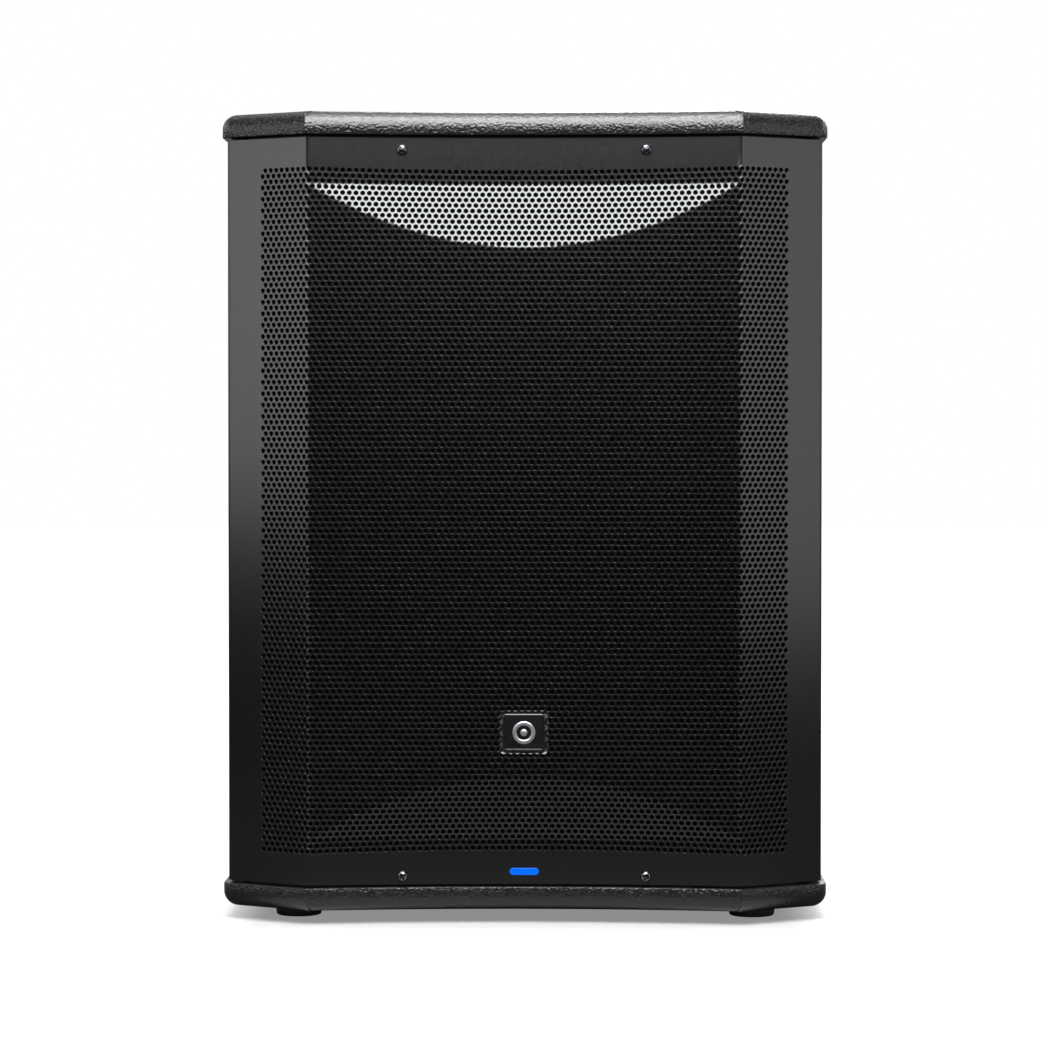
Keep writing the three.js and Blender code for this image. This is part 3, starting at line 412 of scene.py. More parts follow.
class Build:
    """Collects closed shells, in millimetres; each keeps the number of the material it was added with."""

    def __init__(self):
        self.points, self.faces, self.numbers = [], [], []

    def add(self, points, faces, number=0):
        start = len(self.points)
        self.points += [tuple(p) for p in points]
        self.faces += [tuple(start + k for k in face) for face in faces]
        self.numbers += [number] * len(faces)
        return self

    def loft(self, rings, number=0, closed=False, caps=True):
        """A skin through rings of equal count, capped at both ends, or joined end to end if closed."""
        count = len(rings[0])
        faces = []
        for r in range(len(rings) if closed else len(rings) - 1):
            here, there = r * count, ((r + 1) % len(rings)) * count
            for k in range(count):
                after = (k + 1) % count
                faces.append((here + k, here + after, there + after, there + k))
        if caps and not closed:
            last = (len(rings) - 1) * count
            faces += [tuple(reversed(range(count))), tuple(last + k for k in range(count))]
        return self.add([p for ring in rings for p in ring], faces, number)

    def turned(self, profile, origin, axis="Y", sides=48, number=0, closed=False, flutes=0, depth=0.0):
        """A profile of (radius, along[, share of the flutes]) turned about a line through origin."""
        rings = []
        for radius, along, *share in profile:
            cut = depth * share[0] if share else 0.0
            ring = []
            for k in range(sides):
                angle = 2 * math.pi * k / sides
                reach = max(radius - cut * (0.5 + 0.5 * math.cos(flutes * angle)), 1e-3)
                c, s = reach * math.cos(angle), reach * math.sin(angle)
                offset = {"X": (along, c, s), "Y": (s, along, c), "Z": (c, s, along)}[axis]
                ring.append(tuple(o + d for o, d in zip(origin, offset)))
            rings.append(ring)
        return self.loft(rings, number, closed)

    def plate(self, size, radius, centre, layers, plane="XZ", steps=6, number=0, closed=False):
        """A rounded rectangle lofted through layers of (along, inset); centre is in the plane's own axes."""
        rings = []
        for along, inset in layers:
            middle = (centre[0], along, centre[1]) if plane == "XZ" else (along, centre[0], centre[1])
            width, height = size[0] - 2 * inset, size[1] - 2 * inset
            rings.append(rounded_ring(width, height, max(radius - inset, 0.05), steps, middle, plane))
        return self.loft(rings, number, closed)

    def prism(self, outline, holes, y0, y1, number=0):
        """An outline in X and Z with holes through it, from y0 back to y1."""
        loops = [[Vector((x, z, 0)) for x, z in loop] for loop in (outline, *holes)]
        points = [(p.x, y, p.y) for y in (y0, y1) for loop in loops for p in loop]
        count = len(points) // 2
        triangles = tessellate_polygon(loops)
        faces = [tuple(triangle) for triangle in triangles] + [tuple(count + k for k in t[::-1]) for t in triangles]
        start = 0
        for loop in loops:
            for k in range(len(loop)):
                a, b = start + k, start + (k + 1) % len(loop)
                faces.append((a, b, count + b, count + a))
            start += len(loop)
        return self.add(points, faces, number)

    def box(self, low, high, bevel=0.2, number=0):
        """A box with softened edges."""
        size = (high[0] - low[0], high[2] - low[2])
        centre = ((high[0] + low[0]) / 2, (high[2] + low[2]) / 2)
        layers = [(low[1], bevel), (low[1] + bevel, 0), (high[1] - bevel, 0), (high[1], bevel)]
        return self.plate(size, bevel * 1.01, centre, layers, steps=1, number=number)

    def screw(self, x, seat, z, radius, height, out=-1, number=0, rings=9, sides=32, spin=0.4):
        """A pan head with a cross recess on a seat square to Y; out is the way it faces."""
        arm, reach, sink = 0.17 * radius, 0.62 * radius, 0.62 * height
        skins = []
        for n in range(rings + 1):
            r = radius * math.sin(math.pi / 2 * n / rings)
            ring = []
            for k in range(sides):
                angle = 2 * math.pi * k / sides
                a, b = r * math.cos(angle), r * math.sin(angle)
                dome = height * (1 - 0.45 * (r / radius) ** 2 - 0.55 * (r / radius) ** 12)
                cross = max(min((arm - abs(p)) / (0.6 * arm), (reach - abs(q)) / (0.5 * arm))
                            for p, q in ((a, b), (b, a)))
                dome -= sink * min(max(cross, 0), 1)
                c, s = math.cos(spin), math.sin(spin)
                ring.append((x + a * c - b * s, seat + out * dome, z + a * s + b * c))
            skins.append(ring)
        skins.append([(px, seat - out * 0.4, pz) for px, _, pz in skins[-1]])
        return self.loft(skins, number)

    def fit(self, other, place, turn, number=0):
        """Another build's shells, turned and moved into place."""
        return self.add([place + turn @ Vector(p) for p in other.points], other.faces, number)

    def mesh(self, name, unit=MM):
        mesh = bpy.data.meshes.new(name)
        mesh.from_pydata([[unit * c for c in p] for p in self.points], [], self.faces)
        mesh.polygons.foreach_set("material_index", np.array(self.numbers, dtype=np.int32))
        work = bmesh.new()
        work.from_mesh(mesh)
        bmesh.ops.remove_doubles(work, verts=work.verts, dist=3e-6)
        bmesh.ops.delete(work, geom=[edge for edge in work.edges if not edge.link_faces], context="EDGES")
        bmesh.ops.recalc_face_normals(work, faces=work.faces)
        work.to_mesh(mesh)
        work.free()
        return mesh


def circle_loop(x, z, radius, sides=24):
    return [(x + radius * math.cos(2 * math.pi * k / sides), z + radius * math.sin(2 * math.pi * k / sides))
            for k in range(sides)]


def rect_loop(x, z, width, height, radius, steps=4):
    return [(px, pz) for px, _, pz in rounded_ring(width, height, radius, steps, (x, 0, z))]


def node_box(node):
    """A CAD node's lowest and highest corners, in millimetres."""
    return [Vector(corner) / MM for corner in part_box(node)]


def node_place(node):
    """A CAD node's lowest and highest corners, then its middle's x and z, in millimetres."""
    low, high = node_box(node)
    middle = (low + high) / 2
    return low, high, middle.x, middle.z


def rounded_ring(width, height, radius, steps, centre, plane="XZ"):
    """A rounded rectangle as a ring of points, in the XZ or YZ plane."""
    ring = []
    w, h = width / 2 - radius, height / 2 - radius
    for quarter, (sx, sz) in enumerate(((1, 1), (-1, 1), (-1, -1), (1, -1))):
        for k in range(steps + 1):
            angle = math.pi / 2 * (quarter + k / steps)
            a, b = sx * w + radius * math.cos(angle), sz * h + radius * math.sin(angle)
            x, y, z = centre
            ring.append((x + a, y, z + b) if plane == "XZ" else (x, y + a, z + b))
    return ring


# ---------- The perforated grille ----------
def bent(s):
    """x and y of the sheet's outer face at s along its section: a fold to the wing and one to the side flange."""
    side, s = np.sign(s), np.abs(s)
    flange_radius = 2.4 * MM
    turns = ((RIDGE_X, FOLD_RADIUS, WING_ANGLE), (RIDGE_X + WING, flange_radius, math.pi / 2 - WING_ANGLE))
    x, y = np.zeros_like(s), np.zeros_like(s)
    direction = start = saved = 0.0
    for corner, radius, angle in turns:
        trim = radius * math.tan(angle / 2)
        first = corner - trim - saved
        last = first + radius * angle
        straight = np.clip(s, start, first) - start
        x += straight * math.cos(direction)
        y += straight * math.sin(direction)
        phi = np.clip(s - first, 0, radius * angle) / radius
        x += radius * (np.sin(direction + phi) - math.sin(direction))
        y -= radius * (np.cos(direction + phi) - math.cos(direction))
        direction += angle
        start = last
        saved += 2 * trim - radius * angle
    rest = np.maximum(s - start, 0)
    x += rest * math.cos(direction)
    y += rest * math.sin(direction)
    return side * x, y


def reach_at(x):
    u = np.minimum(np.abs(x) / RIDGE_X, 1)
    return FACET_HEIGHT * (1 - u * u)


def formed(s, t):
    """The outer face's point for the flat sheet's point: s across, t up from the middle of the folds."""
    x, y = bent(s)
    reach = reach_at(x)
    up = np.abs(t)
    past = np.maximum(up - (FOLD_HALF - reach), 0)
    slope = reach / math.cos(FACET_TILT)
    on_facet = np.minimum(past, slope)
    z = np.minimum(up, FOLD_HALF - reach) + on_facet * math.cos(FACET_TILT) + np.maximum(past - slope, 0)
    depth = on_facet * math.sin(FACET_TILT)
    return np.stack([x, RIDGE_Y + y + depth, FOLD_MIDDLE + np.sign(t) * z], axis=-1)


def sheet_points(s, t, behind):
    """formed(), moved back through the sheet by behind, square to its face."""
    step = 0.25 * MM
    across = formed(s + step, t) - formed(s - step, t)
    along = formed(s, t + step) - formed(s, t - step)
    inward = -np.cross(across, along)
    inward /= np.linalg.norm(inward, axis=-1, keepdims=True)
    return formed(s, t) + inward * np.asarray(behind)[..., None]


def edge_t(s, z):
    """The t that puts the sheet's edge at height z, straight across."""
    reach = reach_at(bent(np.asarray(s, float))[0])
    return np.sign(z - FOLD_MIDDLE) * (abs(z - FOLD_MIDDLE) + reach * (1 / math.cos(FACET_TILT) - 1))


def zipper(corners, sides):
    """Triangles between a hexagon (0..5) and the ring of a hole (6..6+sides) inside it, as index triples."""
    corner_angle = [math.atan2(v, u) % (2 * math.pi) for u, v in corners]
    order = sorted(range(6), key=lambda k: corner_angle[k])
    ring_angle = [2 * math.pi * k / sides for k in range(sides)]
    triangles = []
    i = j = 0
    while i < 6 or j < sides:
        a, b = order[i % 6], j % sides
        next_corner = corner_angle[order[(i + 1) % 6]] + (2 * math.pi if i + 1 >= 6 else 0)
        next_ring = ring_angle[(j + 1) % sides] + (2 * math.pi if j + 1 >= sides else 0)
        if j >= sides or (i < 6 and next_corner <= next_ring):
            triangles.append((a, order[(i + 1) % 6], 6 + b))
            i += 1
        else:
            triangles.append((a, 6 + (j + 1) % sides, 6 + b))
            j += 1
    return triangles


class Perforation:
    """The flat pattern of the sheet: hexagonal cells, each with a hole, and plain margins round them."""

    def __init__(self):
        low = (ROW_PITCH ** 2 - (HOLE_PITCH / 2) ** 2) / (2 * ROW_PITCH)
        high = (ROW_PITCH ** 2 + (HOLE_PITCH / 2) ** 2) / (2 * ROW_PITCH)
        half = HOLE_PITCH / 2
        self.corners = [(half, -low), (half, low), (0, high), (-half, low), (-half, -low), (0, -high)]
        self.keys = {}
        self.s, self.t = [], []

    def centre(self, row, column):
        shift = HOLE_PITCH / 4 * (1 if row % 2 == 0 else -1)
        s = (column - (COLUMNS - 1) / 2) * HOLE_PITCH + shift
        t = ((ROWS - 1) / 2 - row) * ROW_PITCH + PATTERN_RISE
        return s, t

    def vertex(self, s, t):
        key = (round(s * 1e6 / 3), round(t * 1e6 / 3))
        for nearby in ((a, b) for a in (key[0], key[0] - 1, key[0] + 1) for b in (key[1], key[1] - 1, key[1] + 1)):
            if nearby in self.keys:
                return self.keys[nearby]
        self.keys[key] = len(self.s)
        self.s.append(s)
        self.t.append(t)
        return self.keys[key]

    def cell(self, row, column):
        s, t = self.centre(row, column)
        return [self.vertex(s + u, t + v) for u, v in self.corners]


def badge_window(row, column, pattern, low, high):
    """True if the cell lies in the cut-out for the badge."""
    s, t = pattern.centre(row, column)
    return abs(s) < (high.x - low.x) / 2 + 1.0 * MM and low.z - 1.4 * MM < FOLD_MIDDLE + t < high.z + 1.2 * MM


def margin_faces(pattern):
    """Quads from the pattern's zigzag border out to the sheet's straight edges, with their piece's name."""
    flange = 12 * MM
    bend = RIDGE_X + WING
    side_columns = [bend - 20 * MM, bend - 9 * MM, bend - 3 * MM]
    side_columns += [bend - 1.4 * MM + k * 0.55 * MM for k in range(6)] + [bend + 6 * MM, bend + flange - 1.2 * MM]
    faces = []

    def side_border(side):
        column = 0 if side < 0 else COLUMNS - 1
        border = []
        for row in range(ROWS):
            cell = pattern.cell(row, column)
            border += [cell[3], cell[4]] if side < 0 else [cell[1], cell[0]]
        return border

    def end_border(end):
        row = 0 if end > 0 else ROWS - 1
        border = []
        for column in range(COLUMNS):
            cell = pattern.cell(row, column)
            border += [cell[3], cell[2]] if end > 0 else [cell[4], cell[5]]
        last = pattern.cell(row, COLUMNS - 1)
        return border + [last[1] if end > 0 else last[0]]

    for side in (-1, 1):
        border = side_border(side)
        lines = [border] + [[pattern.vertex(side * s, pattern.t[v]) for v in border] for s in side_columns]
        for inner, outer in zip(lines, lines[1:]):
            for k in range(len(border) - 1):
                quad = (inner[k], inner[k + 1], outer[k + 1], outer[k])
                faces.append((quad[::-1] if side < 0 else quad, "wing_left" if side < 0 else "wing_right"))
    for end, z_edge in ((1, GRILLE_HIGH.z), (-1, GRILLE_LOW.z)):
        border = end_border(end)
        line = [pattern.vertex(-s, pattern.t[border[0]]) for s in reversed(side_columns)] + border
        line += [pattern.vertex(s, pattern.t[border[-1]]) for s in side_columns]
        edge = [pattern.vertex(pattern.s[v], float(edge_t(pattern.s[v], z_edge))) for v in line]
        middle = [pattern.vertex(pattern.s[a], (pattern.t[a] + pattern.t[b]) / 2) for a, b in zip(line, edge)]
        for lower, upper in ((line, middle), (middle, edge)):
            for k in range(len(line) - 1):
                s = (pattern.s[line[k]] + pattern.s[line[k + 1]]) / 2
                name = "front_top" if end > 0 else "front_bottom"
                if abs(s) > RIDGE_X:
                    name = "wing_left" if s < 0 else "wing_right"
                quad = (lower[k], lower[k + 1], upper[k + 1], upper[k])
                faces.append((quad if end > 0 else quad[::-1], name))
    return faces


def piece_of(row, column):
    if column < WING_COLUMNS:
        return "wing_left"
    if column >= COLUMNS - WING_COLUMNS:
        return "wing_right"
    return ("front_top", "front_middle", "front_bottom")[row * 3 // ROWS]


def build_grille():
    pattern = Perforation()
    low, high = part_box("badge")
    cells = {}
    for row in range(ROWS):
        for column in range(COLUMNS):
            if not badge_window(row, column, pattern, low, high):
                cell = (pattern.centre(row, column), pattern.cell(row, column))
                cells.setdefault(piece_of(row, column), []).append(cell)
    margins = {}
    for face, name in margin_faces(pattern):
        margins.setdefault(name, []).append(face)
    flat_s, flat_t = np.array(pattern.s), np.array(pattern.t)
    triangles = np.array(zipper(pattern.corners, HOLE_SIDES))
    angles = 2 * np.pi * np.arange(HOLE_SIDES) / HOLE_SIDES
    unit = np.stack([np.cos(angles), np.sin(angles)], axis=1)
    for name in sorted(cells):
        add_grille_piece(name, cells[name], margins.get(name, []), flat_s, flat_t, triangles, unit)


def add_grille_piece(name, cells, margin, flat_s, flat_t, triangles, unit):
    """One part of the sheet as a closed solid: both faces, the holes' rounded lips and walls, and its edges."""
    centres = np.array([centre for centre, _ in cells])
    hexes = np.array([cell for _, cell in cells])
    used, local = np.unique(np.concatenate([hexes.ravel(), np.array(margin, dtype=int).ravel()]), return_inverse=True)
    hexes = local[: hexes.size].reshape(hexes.shape)
    margin = local[hexes.size:].reshape(-1, 4)
    count, holes, sides = len(used), len(cells), HOLE_SIDES

    def ring(radius, behind):
        at = centres[:, None, :] + unit[None] * radius
        return sheet_points(at[..., 0].ravel(), at[..., 1].ravel(), np.full(holes * sides, behind))

    layers = [
        sheet_points(flat_s[used], flat_t[used], np.zeros(count)),
        ring(HOLE_RADIUS + PUNCH_ROUND, 0.0),
        ring(HOLE_RADIUS, PUNCH_ROUND),
        ring(HOLE_RADIUS, SHEET),
        sheet_points(flat_s[used], flat_t[used], np.full(count, SHEET)),
    ]
    start = np.cumsum([0] + [len(layer) for layer in layers])
    rings = start[1:4]
    index = np.arange(holes * sides).reshape(holes, sides)

    def fans(hex_start, ring_start, flip):
        table = np.concatenate([hexes + hex_start, index + ring_start], axis=1)
        faces = table[:, triangles].reshape(-1, 3)
        return faces[:, ::-1] if flip else faces

    def band(first, second):
        a, b = index + first, np.roll(index, -1, axis=1) + first
        c, d = np.roll(index, -1, axis=1) + second, index + second
        return np.stack([a, b, c, d], axis=-1).reshape(-1, 4)

    threes = np.concatenate([fans(start[0], rings[0], False), fans(start[4], rings[2], True)])
    fours = np.concatenate([band(rings[0], rings[1]), band(rings[1], rings[2]),
                            margin + start[0], margin[:, ::-1] + start[4]])
    edges = open_edges(hexes, margin)
    walls = np.stack([edges[:, 1], edges[:, 0], edges[:, 0] + start[4], edges[:, 1] + start[4]], axis=-1)
    fours = np.concatenate([fours, walls])
    mesh = mesh_from_arrays(f"grille_{name}", np.concatenate(layers), threes, fours)
    outward = layers[2] - layers[3]
    outward /= np.linalg.norm(outward, axis=1)[:, None]
    inward = np.repeat(layers[3].reshape(holes, sides, 3).mean(axis=1), sides, axis=0) - layers[3]
    inward /= np.linalg.norm(inward, axis=1)[:, None]
    mesh.shade_smooth()
    mesh.set_sharp_from_angle(angle=math.radians(24))
    roll_lips(mesh, 3 * len(threes), 4 * holes * sides, rings, outward, inward)
    finish_object(f"grille_{name}", mesh, COAT, replaces=("grille",), sharp=None)


def roll_lips(mesh, start, count, rings, outward, inward):
    """Shades the holes' lips as quarter rounds, from the sheet's face into the wall, and the walls as round."""
    corners = len(mesh.loops)
    vertex = np.empty(corners, dtype=np.int32)
    mesh.loops.foreach_get("vertex_index", vertex)
    normals = np.empty(3 * corners, dtype=np.float32)
    mesh.corner_normals.foreach_get("vector", normals)
    normals = normals.reshape(-1, 3)
    where = np.arange(start, start + 2 * count)
    which = vertex[where]
    on_face = which < rings[1]
    normals[where[on_face]] = outward[which[on_face] - rings[0]]
    inside = (which[~on_face] - rings[1]) % (rings[1] - rings[0])
    normals[where[~on_face]] = inward[inside]
    mesh.normals_split_custom_set(normals)


def open_edges(hexes, margin):
    """The directed edges of the outer face's cells and margins that only one of them has."""
    edges = np.concatenate([np.stack([face, np.roll(face, -1, axis=1)], axis=-1).reshape(-1, 2)
                            for face in (hexes, margin) if len(face)])
    edges = edges[edges[:, 0] != edges[:, 1]]
    _, where, number = np.unique(np.sort(edges, axis=1), axis=0, return_inverse=True, return_counts=True)
    return edges[number[where.ravel()] == 1]


def mesh_from_arrays(name, points, threes, fours):
    mesh = bpy.data.meshes.new(name)
    mesh.vertices.add(len(points))
    mesh.vertices.foreach_set("co", points.astype(np.float32).ravel())
    loops = np.concatenate([threes.ravel(), fours.ravel()]).astype(np.int32)
    mesh.loops.add(len(loops))
    mesh.loops.foreach_set("vertex_index", loops)
    sizes = np.concatenate([np.full(len(threes), 3), np.full(len(fours), 4)])
    mesh.polygons.add(len(sizes))
    mesh.polygons.foreach_set("loop_start", np.concatenate([[0], np.cumsum(sizes)[:-1]]).astype(np.int32))
    mesh.update(calc_edges=True)
    return mesh


build_grille()


# ---------- The end boards ----------
def hollow_front(count):
    """The end boards' hollow front edge, from ridge to ridge, as (x, y) points."""
    ridge_x = RIDGE_X + LIP * math.tan(WING_ANGLE / 2)
    shares = [2 * k / count - 1 for k in range(count + 1)]
    return [(u * ridge_x, FRONT_Y + HOLLOW * (1 - u * u)) for u in shares]


def filleted(corners, steps):
    """Corners (x, y, radius) as a polygon with round fillets."""
    outline = []
    for k, (x, y, radius) in enumerate(corners):
        here = Vector((x, y))
        if radius == 0:
            outline.append(here)
            continue
        before = (Vector(corners[k - 1][:2]) - here).normalized()
        after = (Vector(corners[(k + 1) % len(corners)][:2]) - here).normalized()
        half = before.angle(after) / 2
        centre = here + (before + after).normalized() * radius / math.sin(half)
        start = here + before * radius / math.tan(half) - centre
        end = here + after * radius / math.tan(half) - centre
        turn = start.angle_signed(end)
        for n in range(steps + 1):
            outline.append(centre + Matrix.Rotation(-turn * n / steps, 2) @ start)
    return outline


def end_board_outline():
    wing_end = FRONT_Y + (HALF_SLAB - hollow_front(1)[1][0]) * math.tan(WING_ANGLE)
    corner = 13 * MM
    ridge = 1.2 * MM
    front = [(x, y, 0) for x, y in hollow_front(40)]
    front[0], front[-1] = (*front[0][:2], ridge), (*front[-1][:2], ridge)
    sides = [(HALF_SLAB, wing_end), (HALF_SLAB, BACK_Y), (-HALF_SLAB, BACK_Y), (-HALF_SLAB, wing_end)]
    return filleted(front + [(x, y, corner) for x, y in sides], 8)


def inset(outline, distance):
    """The anticlockwise outline moved inwards."""
    moved = []
    for k, here in enumerate(outline):
        first = (here - outline[k - 1]).normalized()
        second = (outline[(k + 1) % len(outline)] - here).normalized()
        normals = Vector((-first.y - second.y, first.x + second.x))
        moved.append(here + normals * distance / (1 + first.dot(second)))
    return moved


def flat_cap(build, outline, hole, z):
    """Triangles that fill an outline round a hole, if it has one."""
    loops = [[Vector((*p, 0)) for p in loop] for loop in (outline, hole) if loop]
    build.add([(p.x, p.y, z) for loop in loops for p in loop], tessellate_polygon(loops))


def add_end_board(node, inner, outer, pole=False):
    """A board with a round outer edge at z = outer and a softened inner edge at z = inner."""
    outline = end_board_outline()
    edge_round, soft = 11.5 * MM, 0.7 * MM
    way = math.copysign(1, outer - inner)
    layers = [(inner, soft), (inner + way * 0.3 * soft, 0.3 * soft), (inner + way * soft, 0.0)]
    for k in range(11):
        angle = math.pi / 2 * k / 10
        layers.append((outer - way * edge_round * (1 - math.sin(angle)), edge_round * (1 - math.cos(angle))))
    build = Build()
    build.loft([[(*p, z) for p in inset(outline, depth)] for z, depth in layers], caps=False)
    neck, flange = circle_loop(0, 0, 24 * MM, 64), circle_loop(0, 0, 55.5 * MM, 64)
    seat = outer - 3.5 * MM
    flat_cap(build, inset(outline, soft), neck if pole else None, inner)
    flat_cap(build, inset(outline, edge_round), flange if pole else None, outer)
    if pole:
        steps = ((flange, outer), (flange, seat), (neck, seat), (neck, inner))
        build.loft([[(*p, z) for p in loop] for loop, z in steps], caps=False)
    mesh = build.mesh(f"{node}_skin", 1)
    finish_object(f"{node}_skin", mesh, PAINT, replaces=(node,), sharp=28)


add_end_board("top_panel", TOP_LOW.z, TOP_HIGH.z, pole=True)
add_end_board("bottom_panel", BOTTOM_HIGH.z, BOTTOM_LOW.z)


# ---------- Front trim ----------
def band_face(x):
    """How far back the face of the grille's end band is at x, in millimetres."""
    u = x * MM / RIDGE_X
    return (RIDGE_Y + HOLLOW * (1 - u * u)) / MM


def add_grille_screws():
    for end in ("top", "bottom"):
        for side, spin in (("left", 0.5), ("right", 1.1)):
            name = f"grille_screw_{end}_{side}"
            low, high, x, z = node_place(name)
            seat = band_face(x) - 0.1
            build = Build()
            build.screw(x, seat, z, (high.x - low.x) / 2, seat - low.y, rings=14, sides=64, spin=spin)
            build.turned([(0, seat + 0.2), (1.9, seat + 0.2), (1.9, high.y - 2), (0, high.y)], (x, 0, z), sides=20)
            finish_object(f"{name}_head", build.mesh(name), BLACK_OXIDE, replaces=(name,), sharp=40)


def add_led():
    low, high, x, z = node_place("led_lens")
    size = (high.x - low.x - 0.7, high.z - low.z - 0.5)
    build = Build()
    build.plate(size, size[1] / 2 - 0.05, (x, z),
                [(high.y, 0.4), (low.y + 1.2, 0), (low.y + 0.35, 0.12), (low.y + 0.08, 0.5), (low.y, 1.1)], steps=10)
    finish_object("led_lens_glow", build.mesh("led"), BLUE_LIGHT, replaces=("led_lens",), sharp=50)


def add_badge():
    """A dark moulded plate with a raised rim and a plain silver ring, and the cover behind its cut-out."""
    low, high, x, z = node_place("badge")
    width, height, y = high.x - low.x, high.z - low.z, low.y
    build = Build()
    build.plate((width, height), 3, (x, z), [
        (high.y, 0.4), (y + 0.9, 0), (y + 0.35, 0.15), (y + 0.05, 0.6), (y, 1.0), (y, 1.5), (y + 0.12, 1.75),
        (y + 0.7, 2.0), (y + 0.8, 2.4)], steps=8)
    finish_object("badge_plate", build.mesh("badge"), BADGE_PLASTIC, replaces=("badge",),
                  sharp=30)
    ring, face = Build(), y + 0.85
    ring.turned([(5.6, 0), (5.6, -0.35), (5.9, -0.6), (8.3, -0.6), (8.6, -0.35), (8.6, 0)], (x, face, z), sides=72,
                closed=True)
    ring.turned([(0, 0), (2.6, 0), (2.6, -0.35), (2.3, -0.6), (0, -0.6)], (x, face, z), sides=48)
    finish_object("badge_ring", ring.mesh("badge_ring"), SILVER, sharp=40)
    ledge_rings, steps = [], 96
    top, foot, back = low.z - 0.25, y + 2.1, y + 3.2
    for k in range(steps + 1):
        across = (k / steps - 0.5) * (width + 2.4)
        drop = 1.35 + 0.4 * math.cos(2 * math.pi * across * MM / HOLE_PITCH)
        front = foot - 0.62 * drop
        ledge_rings.append([(x + across, py, pz) for py, pz in
                            ((foot, top), (front, top - drop), (back, top - drop), (back, top))])
    ledge = Build().loft(ledge_rings)
    finish_object("badge_ledge", ledge.mesh("badge_ledge"), COAT, sharp=40)
    cover, back = Build(), (RIDGE_Y + SHEET) / MM
    cover.plate((width + 5, height + 5), 4, (x, z), [
        (back + 0.02, 0.15), (back + 0.08, 0), (back + 0.26, 0), (back + 0.3, 0.15)])
    finish_object("badge_cover", cover.mesh("badge_cover"), SOFT_TOUCH)


def add_feet():
    for name in (f"foot_{end}_{side}" for end in ("front", "rear") for side in ("left", "right")):
        low, high, x, _ = node_place(name)
        radius, top, y = (high.x - low.x) / 2, high.z, (low.y + high.y) / 2
        build = Build()
        build.turned([
            (0, 2.6), (3.2, 2.6), (3.6, 2.2), (6.2, 2.2), (6.6, 0.5), (7.2, 0.0), (radius - 3.2, 0.0),
            (radius - 2.3, 0.3), (radius - 1.7, 1.0), (radius - 1.5, 2.2), (radius - 1.0, top - 3.0),
            (radius - 0.9, top - 2.6), (radius - 0.1, top - 2.2), (radius, top - 1.8), (radius, top - 0.5),
            (radius - 0.4, top), (0, top)],
            (x, y, 0), "Z", 72)
        build.turned([(0, 1.2), (3.0, 1.2), (3.0, 2.4), (0, 2.4)], (x, y, 0), "Z", 24, number=1)
        finish_object(f"{name}_rubber", build.mesh(name), [RUBBER, BLACK_OXIDE], replaces=(name,),
                      sharp=38)


# ---------- Pole socket and handles ----------
def add_pole_cup():
    low, high, _, _ = node_place("pole_cup")
    base, top, flange = low.z, high.z, (high.x - low.x) / 2
    build = Build()
    build.turned([
        (0, base), (19.5, base), (21, base + 1.5), (21, top - 3.2), (flange, top - 3.2), (flange, top - 1.2),
        (flange - 0.4, top - 0.5), (flange - 1.4, top), (flange - 4, top), (flange - 4.8, top - 0.9), (26, top - 0.9),
        (25, top - 0.4), (23.5, top), (20.5, top), (19, top - 0.6), (18.2, top - 2), (18, top - 4), (18, base + 6),
        (17.2, base + 4), (0, base + 4)], (0, 0, 0), "Z", 96)
    face_up = Matrix.Rotation(-math.pi / 2, 3, "X")
    for k in range(4):
        angle = math.pi / 2 * k + math.pi / 4
        head = Build().screw(0, 0, 0, 3.6, 0.85, sides=28, rings=8, spin=0.3 + k)
        build.fit(head, Vector((40 * math.cos(angle), 40 * math.sin(angle), top - 0.92)), face_up, 1)
    finish_object("pole_cup_metal", build.mesh("pole_cup"), [SATIN_METAL, BLACK_OXIDE], replaces=("pole_cup",))


def add_handles():
    """A moulded cup with a rolled flange, six screws and a grip across its upper part."""
    length, height, pocket = 165, 105, 55.5
    middle = node_place("handle_left")[3]
    for side, sign in (("left", -1), ("right", 1)):
        face = sign * HALF_BODY / MM
        inner = [(pocket, 7), (pocket - 1.2, 4.4), (pocket - 4, 2.2), (40, 1.2), (12, 0.2), (2, 0.0), (-0.6, -0.3),
                 (-1.8, -1.2), (-2.3, -2.6), (-2.4, -4.5)]
        outer = [(-2.4, -14.2), (-2.8, -15.4), (-2.7, -16.3), (-2.0, -16.9), (-0.5, -17), (-0.35, -17), (-0.35, -2.5),
                 (4, -2.5), (pocket + 1.5, -0.5), (pocket + 2.5, 2.5)]
        build = Build()
        build.plate((length, height), 12, (0, middle), [(face - sign * d, edge) for d, edge in inner + outer], "YZ", 8)
        grip, thick, around = [], 10.6, [2 * math.pi * n / 32 for n in range(32)]
        for share in (k / 24 for k in range(25)):
            radius = thick * (1 + 0.55 * (2 * abs(share - 0.5)) ** 8)
            grip.append([(face - sign * (11 - 0.85 * radius * math.cos(a)), (share - 0.5) * (length - 1),
                          middle + 20 + radius * math.sin(a)) for a in around])
        build.loft(grip)
        face_out = Matrix.Rotation(sign * math.pi / 2, 3, "Z")
        for k, (y, z) in enumerate(((-88, -46), (0, -61), (88, -46), (-88, 46), (0, 61), (88, 46))):
            head = Build().screw(0, 0, 0, 3.8, 1.3, sides=28, rings=8, spin=0.2 + 0.7 * k)
            build.fit(head, Vector((face + sign * 2.3, y, middle + z)), face_out, 1)
        name = f"handle_{side}"
        finish_object(f"{name}_moulding", build.mesh(name), [HANDLE_PLASTIC, BLACK_OXIDE], replaces=(name,))


# ---------- The driver and the ports ----------
BAFFLE_Y = node_box("front_baffle")[0].y
DRIVER_Z = node_place("cone")[3]
AROUND = 96
CONE_OUTER, CONE_INNER = 152, 41  # radii


